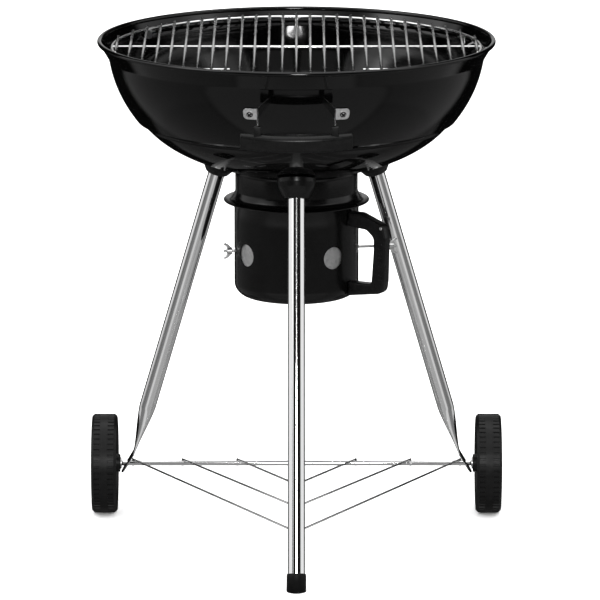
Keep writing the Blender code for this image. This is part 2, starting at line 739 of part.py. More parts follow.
def rod_slot(index, azimuth):
    """A slot that lets the damper rod swing by the damper's turn."""
    middle = azimuth - DAMPER_TURN / 2
    length = 2 * (POT_R * math.sin(math.radians(DAMPER_TURN / 2)) + ROD_R + 0.0008)
    radial = on_axis(middle, 1, 0)
    placement = axes(radial, (0, 0, 1), on_axis(middle, POT_R - 0.002, ROD_Z))
    return box_tool(f"rod_slot_{index}", (0.020, length, 2 * ROD_R + 0.0014), KETTLE, placement)


def make_pot():
    top = FLANGE_Z - GAP
    corner = arc((POT_R - POT_CORNER_R, POT_BOTTOM_Z + POT_CORNER_R), POT_CORNER_R, 0, -90, 6)
    outside = [(POT_R, top)] + corner
    inner_r = POT_R - POT_WALL
    floor = POT_BOTTOM_Z + POT_WALL
    inner_corner = arc((POT_R - POT_CORNER_R, POT_BOTTOM_Z + POT_CORNER_R),
                       POT_CORNER_R - POT_WALL, -90, 0, 6)
    profile = [(0, floor)] + inner_corner + [(inner_r, top)] + outside + [(0, POT_BOTTOM_Z)]
    pot = turned("ash_pot", profile, 36, ENAMEL, KETTLE, closed=False)
    tools = [radial_tool(f"vent_{i}", azimuth, VENT_Z, VENT_R, 16)
             for i, azimuth in enumerate(VENT_AZIMUTHS)]
    tools += [rod_slot(i, azimuth) for i, azimuth in enumerate((ROD_AZIMUTH, ROD_AZIMUTH + 180))]
    tools += [radial_tool(f"handle_screw_hole_{where}", HANDLE_AZIMUTH, z, POT_SCREW_HOLE_R, 12)
              for where, (z, seat) in HANDLE_SCREWS.items()]
    combine(pot, tools, "DIFFERENCE")


def make_damper():
    """The sheet ring inside the pot; turning it brings its holes behind the pot's vents."""
    low = VENT_Z - DAMPER_HALF_HEIGHT
    high = VENT_Z + DAMPER_HALF_HEIGHT
    inner = DAMPER_R - 0.0009
    profile = [(DAMPER_R, high), (DAMPER_R, low), (inner, low), (inner, high)]
    ring = turned("damper_ring", profile, 36, GALVANISED, KETTLE)
    tools = [radial_tool(f"damper_vent_{i}", azimuth + DAMPER_TURN, VENT_Z, VENT_R, 16)
             for i, azimuth in enumerate(VENT_AZIMUTHS)]
    tools += [radial_tool(f"damper_rod_hole_{i}", azimuth, ROD_Z, ROD_R + GAP, 12)
              for i, azimuth in enumerate((ROD_AZIMUTH, ROD_AZIMUTH + 180))]
    combine(ring, tools, "DIFFERENCE")


def rod_placement(sign, distance):
    """Local Z points outwards along the rod, and local Y is up."""
    outward = on_axis(ROD_AZIMUTH, sign, 0)
    place = outward * distance + Vector((0, 0, ROD_Z))
    return axes(Vector((0, 0, 1)).cross(outward) * -1, outward, place)


def make_rod():
    profile = [(0, ROD_RIGHT), (ROD_R, ROD_RIGHT), (ROD_R, -ROD_LEFT), (0, -ROD_LEFT)]
    turned("damper_rod", profile, 12, ZINC, KETTLE, rod_placement(1, 0), closed=False)
    for side, sign in SIDES.items():
        face = DAMPER_R - 0.0018
        nut = [(ROD_R + 0.0008, face), (0.0040, face), (0.0040, face - 0.0032),
               (ROD_R + 0.0008, face - 0.0032)]
        turned(f"rod_nut_{side}", nut, 6, ZINC, KETTLE, rod_placement(sign, 0))


def make_wing_nut(side, distance):
    sign = SIDES[side]
    placement = rod_placement(sign, distance)
    hub = [(ROD_R + GAP, 0.0078), (0.0040, 0.0078), (0.0050, 0.0010), (0.0050, 0), (ROD_R + GAP, 0)]
    nut = as_mesh(turned(f"wing_nut_{side}", hub, 16, ZINC, KETTLE, placement))
    for k, up in enumerate((1, -1)):
        wing = [(0.0036, 0.0010, 0), (0.0052, 0.0010, 0), (0.0098, 0.0055, 0.002),
                (0.0120, 0.0105, 0.0015), (0.0100, 0.0130, 0.0015), (0.0070, 0.0085, 0.002),
                (0.0036, 0.0068, 0)]
        outline = rounded([(up * y, z, radius) for y, z, radius in wing], 2)
        flat = placement @ axes((0, 1, 0), (1, 0, 0), (0, 0, 0))
        blade = plate(f"wing_{side}_{k}", outline, 0.0022, ZINC, KETTLE, flat, collection=TOOLS)
        combine(nut, [guide(as_mesh(blade))], "UNION")


def make_pot_handle():
    """A mug-like handle; its outline lies in the upright plane at its azimuth."""
    foot = HANDLE_FOOT_R
    corners = [(foot, 0.5035, 0), (0.1120, 0.5035, 0.012), (0.1505, 0.4885, 0.007),
               (0.1542, 0.4700, 0), (0.1525, 0.4050, 0), (0.1500, 0.3868, 0.011),
               (foot - 0.0030, 0.3780, 0), (foot, 0.3875, 0), (foot, 0.3989, 0),
               (0.1310, 0.3996, 0.003), (0.1347, 0.4500, 0), (0.1347, 0.4690, 0.010),
               (0.1225, 0.4800, 0.010), (foot, 0.4825, 0)]
    radial = on_axis(HANDLE_AZIMUTH, 1, 0)
    placement = axes(radial, radial.cross(Vector((0, 0, 1))), (0, 0, 0))
    handle = as_mesh(plate("pot_handle", rounded(corners, 4), 2 * HANDLE_HALF_WIDE, SATIN_BLACK,
                           KETTLE, placement, edge=0.002))
    holes = [radial_tool(f"handle_bore_{where}", HANDLE_AZIMUTH, z, POT_SCREW_HOLE_R, 12, INTO_HANDLE)
             for where, (z, seat) in HANDLE_SCREWS.items()]
    across = HANDLE_HALF_WIDE + 0.003
    pin_at = placement @ Matrix.Translation((*PIN_CENTRE, 0))
    holes.append(bar_tool("handle_pin_hole", POT_SCREW_HOLE_R, pin_at @ Vector((0, 0, -across)),
                          pin_at @ Vector((0, 0, across)), KETTLE, 12))
    combine(handle, holes, "DIFFERENCE")
    face = HANDLE_HALF_WIDE + GAP
    pin = [(0, face + 0.0010), (0.0022, face + 0.0008), (0.0026, face), (0.0018, face),
           (0.0018, -face + 0.001), (0, -face + 0.001)]
    turned("pot_handle_pin", pin, 12, ZINC, KETTLE, pin_at, closed=False)
    for where, (z, seat) in HANDLE_SCREWS.items():
        screw = [(0, 0.1075), (0.0018, 0.1075), (0.0018, seat), (0.0036, seat),
                 (0.0034, seat - 0.0018), (0, seat - 0.0020)]
        place = axes((0, 0, 1), radial, (0, 0, z))
        turned(f"pot_handle_screw_{where}", screw, 12, ZINC, KETTLE, place, closed=False)


# ---------------------------------------------------------------- the grill

clear_scene()
PARTS = make_collection("kettle_charcoal_grill")
TOOLS = make_collection("cutters")
KETTLE = make_object("kettle_axis", None, None, Matrix.Translation((0, KETTLE_Y, 0)))

make_bowl()
for number, direction in enumerate(SUPPORT_AZIMUTHS, 1):
    make_grate_support(number, direction)
make_cooking_grate()
make_charcoal_grate()
make_grip()
for end in SIDES:
    make_handle_bracket(end)
    make_handle_fasteners(end)
    make_wheel_end(end)
for place_name, direction in LEG_AZIMUTHS.items():
    make_socket(place_name, direction)
make_front_leg()
for place_name in ("rear_right", "rear_left"):
    make_rear_leg(place_name, LEG_AZIMUTHS[place_name])
make_foot_cap()
make_axle()
for wire_name in RACK_HOOK_X:
    make_rack_wire(wire_name)
make_rack_spine()
make_collar()
make_pot()
make_damper()
make_rod()
make_wing_nut("right", NUT_RIGHT)
make_wing_nut("left", NUT_LEFT)
make_pot_handle()
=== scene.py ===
"""The looks of the kettle charcoal grill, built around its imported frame.

Units are metres and +Z is up. The grill faces -Y. Azimuths are measured about the kettle's
axis from the front (-Y) towards the right-hand side (+X).
"""
import json
import math
from collections import namedtuple

import bmesh
import bpy
from mathutils import Matrix, Vector


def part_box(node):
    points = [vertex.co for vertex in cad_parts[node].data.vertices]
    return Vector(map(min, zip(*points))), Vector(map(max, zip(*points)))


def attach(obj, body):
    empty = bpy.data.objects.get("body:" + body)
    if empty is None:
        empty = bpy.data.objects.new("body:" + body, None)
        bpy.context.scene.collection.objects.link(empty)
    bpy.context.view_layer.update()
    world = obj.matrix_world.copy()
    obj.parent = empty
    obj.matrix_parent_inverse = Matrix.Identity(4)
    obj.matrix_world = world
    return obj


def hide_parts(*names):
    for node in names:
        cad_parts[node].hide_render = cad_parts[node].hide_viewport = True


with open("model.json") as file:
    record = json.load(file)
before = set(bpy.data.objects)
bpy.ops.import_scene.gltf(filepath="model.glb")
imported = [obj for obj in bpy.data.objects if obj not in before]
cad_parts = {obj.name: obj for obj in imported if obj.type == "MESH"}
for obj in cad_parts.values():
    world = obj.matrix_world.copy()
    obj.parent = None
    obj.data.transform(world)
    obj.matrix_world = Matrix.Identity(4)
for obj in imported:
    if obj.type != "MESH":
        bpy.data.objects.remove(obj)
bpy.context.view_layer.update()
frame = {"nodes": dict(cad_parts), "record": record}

Dish = namedtuple("Dish", "radius height centre")


def middle(node):
    low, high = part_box(node)
    return (low + high) / 2


def extent(node):
    low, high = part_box(node)
    return high - low


# ---- sizes

GAP = 0.0003
SHEET = 0.0014
SIDES = {"right": 1, "left": -1}
KETTLE = Vector((middle("bowl").x, middle("bowl").y, 0))

BEAD_R = 0.00348
RIM_R = extent("bowl").x / 2 - BEAD_R
RIM_Z = 0.750
SHOULDER_R = 0.2757
SHOULDER_DEPTH = 0.024
UPPER_WALL = Dish(radius=0.2770, height=0.2175, centre=0.0)
LOWER_WALL = Dish(radius=0.2424, height=0.1250, centre=0.0741)
STEP_TOP = 0.116
STEP_BOTTOM = 0.125

NECK_R = 0.0905
NECK_SEAM_Z = 0.5545
FLANGE_R = extent("ash_collar").x / 2
FLANGE_Z = 0.5125
SPIGOT_R = 0.0900
POT_R = 0.0919
POT_WALL = 0.0012
POT_BOTTOM_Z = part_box("ash_pot")[0].z
POT_CORNER_R = 0.020
VENT_Z = 0.4390
VENT_R = 0.0165
VENT_CUT = (0.085, 0.097)
VENT_AZIMUTHS = (36.3, 126.3, 216.3, 306.3)
DAMPER_TURN = 22
DAMPER_R = 0.0902

ROD_Z = middle("damper_rod").z
ROD_R = 0.0020
ROD_AZIMUTH = 99
ROD_RIGHT = 0.1510
ROD_LEFT = 0.1090
NUT_DISTANCE = {"right": 0.1385, "left": 0.0965}

LEG_R = 0.0125
LEG_WALL = 0.0012
LEG_LEAN = math.radians(18.34)
LEG_GROUND_R = 0.3158
LEG_TOP_Z = 0.5695
LEG_AZIMUTHS = {"front": 0, "rear_right": 120, "rear_left": 240}
LEG_SEAT = 0.0025
FRONT_LEG_LENGTH = 0.5900
FOOT_CAP_R = 0.0142
FOOT_CAP_TOP = 0.575
FOOT_CAP_REACH = 0.620

AXLE_Z = middle("axle").z
AXLE_Y = middle("axle").y - KETTLE.y
AXLE_R = 0.004
AXLE_HALF = extent("axle").x / 2
WHEEL_R = extent("wheel_right").z / 2
WHEEL_HALF = 0.019
WHEEL_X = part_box("wheel_right")[1].x - WHEEL_HALF
RACK_WIRE = 0.0016
WIRE_SIDES = 16
RING_SIDES = 14
WIRE_DOME = 0.45

# Cooking grate and charcoal grate: where the ring lies, and the wires' radii
GRATE_RING_R = 0.271
GRATE_RING_Z = RIM_Z - 0.0097
GRATE_RING_WIRE = 0.0024
GRATE_BAR_WIRE = 0.0021
GRATE_BAR_PITCH = 0.0203
GRATE_BAR_COUNT = 27
GRATE_BAR_REACH = 0.2735
SHORT_WIRE_Y = -0.1935
SHORT_WIRE_INNER_X = 0.096
COAL_RING_R = 0.2246
COAL_RING_Z = RIM_Z - 0.1155
COAL_WIRE = 0.0030
COAL_BAR_PITCH = 0.032
COAL_BAR_COUNT = 13
COAL_CROSS_Y = 0.090
WELD_SINK = 0.0009
CROSS_SINK = 0.0008

# Bowl handle
TAB_AZIMUTH = 14.35
TAB_DEPTH = 0.0615
TAB_THICK = 0.0018
TAB_INNER = 0.0108
TAB_OUTER = 0.0098
TAB_HALF_TALL = 0.0090
ARM_X = 0.0550
ARM_OUTLINE = ((-0.2640, 0.6969), (-0.2579, 0.6801), (-0.3269, 0.6563), (-0.3319, 0.6736))
GRIP_HALF_LENGTH = extent("bowl_handle_grip").x / 2
GRIP_CENTRE = (-0.3390, 0.6603)
GRIP_TILT = math.radians(15)
GRIP_DEEP = 0.0188
GRIP_TALL = 0.0234
GRIP_FRONT_BOW = 0.0125
GRIP_BACK_BOW = 0.0030
GRIP_END_ROUND = 0.0016
LUG_SIZE = (0.0104, 0.0098, 0.0248)
LUG_CENTRE = (-0.3365, 0.6720)
LUG_CORNER_R = 0.001
SCREW_HEAD_R = 0.0048
SCREW_HEAD_TALL = 0.0027
SCREW_SHANK_R = 0.0025
SCREW_REACH = 0.0100
RECESS_SIZE = 0.0086
RECESS_DEPTH = 0.0018

# Flattened ends of the rear legs, wheels and rack
PLATE_BEND_Z = 0.092
PLATE_SPREAD = 0.60
PLATE_HALF_THICK = 0.0014
PLATE_REACH = 0.0145
PLATE_TIP_R = 0.0185
PLATE_BEND_R = 0.006
SQUEEZE_TOP_Z = 0.168
SQUEEZE_STEPS = 18
LEG_SIDES = 64
HUB_R = 0.0135
HUB_OUTER_Z = 0.0125
HUB_INNER_Z = -0.0235
WEB_HALF = 0.0050
WEB_R = 0.0560
RIM_LIP_R = 0.0600
RIB_THICK = 0.0030
RIB_COUNT = 10
WASHER_R = 0.0085
WASHER_THICK = 0.0016
LUG_COUNT = 54
LUG_DEPTH = 0.0012
RACK_HOOK_X = {"outer": 0.2485, "middle": 0.1730, "inner": 0.0900}
RACK_APEX_Y = {"outer": -0.2700, "middle": -0.1300, "inner": -0.0020}
RACK_FRONT_DROP = 0.0045
SPINE_DROP = 0.0040

# Pot and damper
SPIGOT_BOTTOM_Z = 0.4970
DAMPER_HALF_HEIGHT = 0.032
DAMPER_SHEET = 0.0009
POT_LIP_R = 0.0011
THREAD_PITCH = 0.0007
HANDLE_AZIMUTH = 60
HANDLE_HALF_WIDE = 0.0090
RIDGE_COUNT = 9
RIDGE_PITCH = 0.0066
RIDGE_BOTTOM_Z = 0.4070
PIN_PLACE = (0.1475, 0.4845)


# ---- points and outlines

def on_axis(azimuth, radius, z):
    """A point about the kettle's axis, from its azimuth in degrees."""
    angle = math.radians(azimuth)
    return Vector((radius * math.sin(angle), -radius * math.cos(angle), z))


def axes(x_axis, z_axis, origin):
    """A placement whose local X and Z point along the given directions."""
    x_axis = Vector(x_axis).normalized()
    z_axis = Vector(z_axis).normalized()
    placement = Matrix((x_axis, z_axis.cross(x_axis), z_axis)).transposed().to_4x4()
    placement.translation = origin
    return placement


def arc(centre, radius, start, end, count):
    """Points on an arc between two angles in degrees, both ends included."""
    angles = [math.radians(start + (end - start) * i / (count - 1)) for i in range(count)]
    return [(centre[0] + radius * math.cos(a), centre[1] + radius * math.sin(a)) for a in angles]


def rounded(corners, closed=True, segments=6):
    """A path through (x, y, corner radius) points, with an arc at each rounded corner."""
    points = []
    last = len(corners) - 1
    for i, (x, y, radius) in enumerate(corners):
        here = Vector((x, y))
        if radius == 0 or (not closed and i in (0, last)):
            points.append((x, y))
            continue
        before = (Vector(corners[i - 1][:2]) - here).normalized()
        after = (Vector(corners[(i + 1) % len(corners)][:2]) - here).normalized()
        half = before.angle(after) / 2
        if half > 1.56:
            points.append((x, y))
            continue
        centre = here + (before + after).normalized() * (radius / math.sin(half))
        start = here + before * (radius / math.tan(half)) - centre
        turn = start.angle_signed(here + after * (radius / math.tan(half)) - centre)
        for k in range(segments + 1):
            spoke = start.copy()
            spoke.rotate(Matrix.Rotation(-turn * k / segments, 2))
            points.append(tuple(centre + spoke))
    return points


def dish_wall(dish, depth_from, depth_to, count):
    """Points (radius, z) down an elliptical wall between two depths."""
    first = math.asin((depth_from - dish.centre) / dish.height)
    last = math.asin((depth_to - dish.centre) / dish.height)
    angles = [first + (last - first) * i / (count - 1) for i in range(count)]
    return [(dish.radius * math.cos(a), RIM_Z - dish.centre - dish.height * math.sin(a))
            for a in angles]


def dish_radius(dish, depth):
    return dish.radius * math.sqrt(1 - ((depth - dish.centre) / dish.height) ** 2)


def dish_depth(dish, radius):
    return dish.centre + dish.height * math.sqrt(1 - (radius / dish.radius) ** 2)


def inset(path, distance):
    """The path moved towards the axis side by the given distance."""
    moved = []
    for i, point in enumerate(path):
        before = Vector(path[max(i - 1, 0)])
        after = Vector(path[min(i + 1, len(path) - 1)])
        along = (after - before).normalized()
        moved.append((point[0] + along.y * distance, point[1] - along.x * distance))
    return moved


def bent(points, radius, segments=6):
    """A path in space whose inner corners are rounded."""
    path = [Vector(points[0])]
    for before, here, after in zip(points, points[1:], points[2:]):
        here = Vector(here)
        back = Vector(before) - here
        ahead = Vector(after) - here
        reach = min(radius, back.length / 2, ahead.length / 2)
        start = here + back.normalized() * reach
        end = here + ahead.normalized() * reach
        for k in range(segments + 1):
            t = k / segments
            path.append(start * (1 - t) ** 2 + here * 2 * t * (1 - t) + end * t ** 2)
    path.append(Vector(points[-1]))
    return path


# ---- meshes

def new_object(name, mesh, placement=None):
    obj = bpy.data.objects.new(name, mesh)
    bpy.context.scene.collection.objects.link(obj)
    obj.matrix_world = Matrix.Translation(KETTLE) @ (placement or Matrix())
    return obj


def finished(name, body, placement=None, sharp=38):
    """A bmesh made into an object with welded, outward, smooth-shaded faces."""
    bmesh.ops.remove_doubles(body, verts=body.verts, dist=0.000004)
    bmesh.ops.recalc_face_normals(body, faces=body.faces)
    mesh = bpy.data.meshes.new(name)
    body.to_mesh(mesh)
    body.free()
    mesh.shade_smooth()
    mesh.set_sharp_from_angle(angle=math.radians(sharp))
    return new_object(name, mesh, placement)


def skin(body, rings, looped=False, caps=True):
    """Faces through equal rings of points; looped joins the last ring to the first."""
    made = [[body.verts.new(p) for p in ring] for ring in rings]
    pairs = list(zip(made, made[1:]))
    if looped:
        pairs.append((made[-1], made[0]))
    for one, other in pairs:
        for k in range(len(one)):
            body.faces.new((one[k - 1], one[k], other[k], other[k - 1]))
    if caps and not looped:
        body.faces.new(made[0])
        body.faces.new(made[-1])


def turn_profile(body, profile, steps, looped=True):
    """Sweeps (radius, height) points about the local Z axis."""
    spokes = [(math.cos(math.tau * k / steps), math.sin(math.tau * k / steps)) for k in range(steps)]
    rings = [[Vector((r * c, r * s, z)) for c, s in spokes] for r, z in profile]
    skin(body, rings, looped, caps=False)


def turned(name, profile, steps=96, placement=None, looped=True, sharp=38):
    body = bmesh.new()
    turn_profile(body, profile, steps, looped)
    return finished(name, body, placement, sharp)


def run_wire(body, path, radius):
    """A round wire along a path, with domed ends."""
    path = [Vector(p) for p in path]
    first = (path[0] - path[1]).normalized()
    last = (path[-1] - path[-2]).normalized()
    tip = [(math.sin(math.radians(a)) * WIRE_DOME, math.cos(math.radians(a))) for a in (30, 60, 84)]
    stations = [(path[0] + first * (rise * radius), share * radius) for rise, share in reversed(tip)]
    stations += [(p, radius) for p in path]
    stations += [(path[-1] + last * (rise * radius), share * radius) for rise, share in tip]
    rings = []
    side = None
    for i, (place, r) in enumerate(stations):
        before = stations[max(i - 1, 0)][0]
        after = stations[min(i + 1, len(stations) - 1)][0]
        along = (after - before).normalized()
        if side is None:
            side = along.orthogonal().normalized()
        side = (side - along * side.dot(along)).normalized()
        up = along.cross(side)
        rings.append([place + (side * math.cos(a) + up * math.sin(a)) * r
                      for a in (math.tau * k / WIRE_SIDES for k in range(WIRE_SIDES))])
    skin(body, rings)


def wire(name, path, radius):
    body = bmesh.new()
    run_wire(body, path, radius)
    return finished(name, body)


def slab(name, outline, thickness, edge, placement, resolution=3):
    """A flat outline in the local XY plane, thickened both ways, with rounded edges."""
    curve = bpy.data.curves.new(name, "CURVE")
    curve.dimensions = "2D"
    curve.fill_mode = "BOTH"
    curve.extrude = thickness / 2 - edge
    curve.bevel_depth = edge
    curve.bevel_resolution = resolution
    curve.offset = -edge
    spline = curve.splines.new("POLY")
    spline.points.add(len(outline) - 1)
    spline.use_cyclic_u = True
    for point, (x, y) in zip(spline.points, outline):
        point.co = (x, y, 0.0, 1.0)
    source = bpy.data.objects.new(name + "_outline", curve)
    body = bmesh.new()
    mesh = source.to_mesh()
    body.from_mesh(mesh)
    source.to_mesh_clear()
    bpy.data.objects.remove(source)
    return finished(name, body, placement)


def baked(obj):
    """Moves the placement of a leaning piece into its mesh, so that its box stays upright."""
    obj.data.transform(obj.matrix_world)
    obj.matrix_world = Matrix()
    return obj


def joined(target, *others):
    """Adds the other objects' meshes to the target's, in place."""
    body = bmesh.new()
    body.from_mesh(target.data)
    for other in others:
        mesh = other.data.copy()
        mesh.transform(target.matrix_world.inverted() @ other.matrix_world)
        body.from_mesh(mesh)
        bpy.data.objects.remove(other)
    body.to_mesh(target.data)
    body.free()
    target.data.shade_smooth()
    target.data.set_sharp_from_angle(angle=math.radians(38))
    return target


def cut(target, *tools):
    """Cuts the tools out of the target for good."""
    for tool in tools:
        step = target.modifiers.new("cut", "BOOLEAN")
        step.operation = "DIFFERENCE"
        step.solver = "EXACT"
        step.object = tool
    bpy.context.view_layer.update()
    result = bpy.data.meshes.new_from_object(
        target.evaluated_get(bpy.context.evaluated_depsgraph_get()))
    target.modifiers.clear()
    target.data = result
    for tool in tools:
        bpy.data.objects.remove(tool)
    return target


def rod_tool(radius, start, end):
    """A round bar between two points, to cut a hole with."""
    turn = (end - start).to_track_quat("Z", "Y")
    angles = [math.tau * k / 48 for k in range(48)]
    circle_points = [turn @ Vector((radius * math.cos(a), radius * math.sin(a), 0)) for a in angles]
    body = bmesh.new()
    skin(body, [[centre + point for point in circle_points] for centre in (start, end)])
    return finished("tool", body)


def round_normals(obj, low, high):
    """Exact normals for the upright cylinder walls between two heights, after cuts."""
    mesh = obj.data
    normals = [Vector(n.vector) for n in mesh.corner_normals]
    for face in mesh.polygons:
        for corner in face.loop_indices:
            place = mesh.vertices[mesh.loops[corner].vertex_index].co
            out = Vector((place.x, place.y, 0)).normalized()
            lean = face.normal.dot(out)
            if low <= place.z <= high and abs(lean) > 0.9:
                normals[corner] = out if lean > 0 else -out
    mesh.normals_split_custom_set(normals)
    return obj


# ---- materials

def node(tree, kind, **values):
    """A shader node with its properties or sockets set by name."""
    made = tree.nodes.new(kind)
    for key, value in values.items():
        if hasattr(made, key):
            setattr(made, key, value)
        else:
            made.inputs[key.replace("_", " ")].default_value = value
    return made


def noise(tree, place, scale, detail=3.0, stretch=(1, 1, 1)):
    """A noise pattern whose features are about 1 / scale metres across."""
    mapping = node(tree, "ShaderNodeMapping")
    mapping.inputs["Scale"].default_value = stretch
    tree.links.new(place, mapping.inputs["Vector"])
    made = node(tree, "ShaderNodeTexNoise", Scale=scale, Detail=detail)
    tree.links.new(mapping.outputs["Vector"], made.inputs["Vector"])
    return made.outputs["Fac"]


def between(tree, factor, low, high, start=0.3, end=0.7):
    """Maps a pattern to a value between low and high."""
    made = node(tree, "ShaderNodeMapRange", clamp=True)
    for socket, value in (("From Min", start), ("From Max", end), ("To Min", low), ("To Max", high)):
        made.inputs[socket].default_value = value
    tree.links.new(factor, made.inputs["Value"])
    return made.outputs["Result"]


def vary_colour(tree, place, dark, light, tone, stretch, cells):
    """A soft pattern between two tones, or flat cells for galvanised spangle."""
    if cells:
        spangle = node(tree, "ShaderNodeTexVoronoi", Scale=cells, feature="F1")
        tree.links.new(place, spangle.inputs["Vector"])
        patches = node(tree, "ShaderNodeSeparateColor")
        tree.links.new(spangle.outputs["Color"], patches.inputs["Color"])
        pattern = patches.outputs["Red"]
        span = (0.0, 1.0)
    else:
        pattern = noise(tree, place, tone, 4.0, stretch)
        span = (0.3, 0.7)
    colours = node(tree, "ShaderNodeMix", data_type="RGBA")
    tree.links.new(between(tree, pattern, 0.0, 1.0, *span), colours.inputs["Factor"])
    colours.inputs["A"].default_value = (*dark, 1)
    colours.inputs["B"].default_value = (*light, 1)
    return colours.outputs["Result"]


def vary_roughness(tree, place, rough, wear, stretch):
    """Broad patches and fine wear, added up between the two values of rough."""
    patchy = noise(tree, place, wear[0], 3.0, stretch)
    fine = noise(tree, place, wear[1], 2.0, stretch)
    both = node(tree, "ShaderNodeMath", operation="ADD")
    tree.links.new(patchy, both.inputs[0])
    tree.links.new(fine, both.inputs[1])
    return between(tree, both.outputs["Value"], rough[0], rough[1], 0.7, 1.3)


def material(name, dark, light, rough, metallic=0.0, specular=0.5, tone=40, wear=(60, 300),
             bumps=(), stretch=(1, 1, 1), cells=None):
    """Colour varies between two tones, roughness between two values, and the bumps are
    (features per metre, depth in metres) pairs."""
    made = bpy.data.materials.new(name)
    made.use_nodes = True
    tree = made.node_tree
    shader = tree.nodes["Principled BSDF"]
    shader.inputs["Metallic"].default_value = metallic
    shader.inputs["Specular IOR Level"].default_value = specular
    place = node(tree, "ShaderNodeTexCoord").outputs["Object"]
    tree.links.new(vary_colour(tree, place, dark, light, tone, stretch, cells), shader.inputs["Base Color"])
    tree.links.new(vary_roughness(tree, place, rough, wear, stretch), shader.inputs["Roughness"])
    normal = None
    for scale, depth in bumps:
        step = node(tree, "ShaderNodeBump", Distance=depth, Strength=1.0)
        tree.links.new(noise(tree, place, scale, 2.0), step.inputs["Height"])
        if normal:
            tree.links.new(normal, step.inputs["Normal"])
        normal = step.outputs["Normal"]
    if normal:
        tree.links.new(normal, shader.inputs["Normal"])
    return made


def grey(value):
    return (value, value, value)


MATERIALS = {
    "black_enamel": material("gloss_black_enamel", grey(0.0003), grey(0.0006), (0.04, 0.09), specular=0.28,
                             tone=12, wear=(30, 400), bumps=((420, 0.000004), (2400, 0.0000008))),
    "black_paint": material("satin_black_paint", grey(0.0008), grey(0.0018), (0.26, 0.36), specular=0.22,
                            tone=60, wear=(80, 900), bumps=((1500, 0.000010),)),
    "chrome_tube": material("polished_chrome_tube", grey(0.74), grey(0.80), (0.06, 0.12), 1.0,
                            tone=25, wear=(40, 1500), stretch=(1, 1, 0.12), bumps=((60, 0.000003),)),
    "chrome_wire": material("chrome_wire", grey(0.70), grey(0.84), (0.14, 0.26), 1.0,
                            tone=90, wear=(120, 1200), bumps=((900, 0.000010),)),
    "steel_wire": material("plain_steel_wire", grey(0.12), grey(0.22), (0.34, 0.52), 1.0,
                           tone=70, wear=(90, 900), bumps=((1100, 0.000020),)),
    "galvanised_sheet": material("galvanised_sheet", grey(0.40), grey(0.54), (0.42, 0.60), 1.0,
                                 wear=(150, 800), bumps=((500, 0.000010),), cells=220),
    "zinc_fittings": material("bright_zinc", grey(0.56), grey(0.76), (0.24, 0.40), 1.0,
                              tone=220, wear=(200, 1500), bumps=((1500, 0.000006),)),
    "handle_plastic": material("black_phenolic", grey(0.0014), grey(0.0028), (0.24, 0.36), specular=0.17,
                               tone=120, wear=(100, 1500), bumps=((1800, 0.000010), (5000, 0.000003))),
    "wheel_plastic": material("wheel_plastic", grey(0.0009), grey(0.0021), (0.36, 0.50), specular=0.20,
                              tone=80, wear=(90, 1200), bumps=((1500, 0.000016), (5200, 0.000005))),
    "foot_rubber": material("foot_plastic", grey(0.0008), grey(0.0018), (0.42, 0.58), specular=0.14,
                            tone=90, wear=(120, 1500), bumps=((1600, 0.000016),)),
}
SATIN_ENAMEL = material("satin_black_enamel", grey(0.0006), grey(0.0012), (0.16, 0.26), specular=0.26,
                        tone=16, wear=(40, 500), bumps=((500, 0.000005), (2400, 0.000001)))
SATIN_NODES = ("ash_collar", "ash_pot")
# Painted shade: a dark matt finish for the faces inside the screw heads' cross recesses, standing in for the
# shade that falls there
RECESS_SHADE = material("recess_painted_shade", grey(0.0010), grey(0.0030), (0.6, 0.8), specular=0.1,
                        tone=900, wear=(900, 2500))

RECORD = frame["record"]
SLOT_OF = {part["node"]: part["material_slot"] for part in RECORD["subparts"]}
BODY_OF = {name: body for body, names in RECORD["behaviour"]["bodies"].items() for name in names}


def stands_for(piece, *nodes):
    """The piece takes the place, the body and the finish of these CAD nodes."""
    slot = SLOT_OF[nodes[0]]
    piece.data.materials.clear()
    piece.data.materials.append(SATIN_ENAMEL if nodes[0] in SATIN_NODES else MATERIALS[slot])
    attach(piece, BODY_OF[nodes[0]])
    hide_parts(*nodes)
    return piece


# ---- bowl

def make_bowl():
    lean = math.degrees(math.atan2(-SHOULDER_DEPTH, SHOULDER_R - RIM_R))
    mouth = math.degrees(math.asin(SHEET / 2 / BEAD_R))
    bead = arc((RIM_R, RIM_Z), BEAD_R, lean + 360 - mouth, lean + mouth, 28)
    upper = dish_wall(UPPER_WALL, 0.0320, STEP_TOP - 0.004, 26)
    lower = dish_wall(LOWER_WALL, STEP_BOTTOM + 0.003, dish_depth(LOWER_WALL, 0.102), 30)
    shoulder = rounded([(*bead[-1], 0), (SHOULDER_R, RIM_Z - SHOULDER_DEPTH, 0.006), (*upper[0], 0)],
                       False, 8)
    ledge_r = dish_radius(LOWER_WALL, STEP_BOTTOM) - 0.0004
    step = rounded([(*upper[-1], 0), (dish_radius(UPPER_WALL, STEP_TOP), RIM_Z - STEP_TOP, 0.0022),
                    (ledge_r, RIM_Z - STEP_BOTTOM + 0.0022, 0.0016),
                    (ledge_r, RIM_Z - STEP_BOTTOM - 0.0006, 0.0010), (*lower[0], 0)], False, 8)
    neck = rounded([(*lower[-1], 0), (NECK_R, RIM_Z - dish_depth(LOWER_WALL, NECK_R), 0.006),
                    (NECK_R, NECK_SEAM_Z + GAP, 0)], False, 8)
    outside = shoulder + upper[1:-1] + step + lower[1:-1] + neck
    inside = inset(outside, SHEET)[1:]
    bowl = turned("bowl_shell", bead[:-1] + outside + inside[::-1], 288)
    return stands_for(bowl, "bowl")


def circle(radius, wire_radius, z):
    return arc((radius, z), wire_radius, 90, 90 - 360 * (RING_SIDES - 1) / RING_SIDES, RING_SIDES)


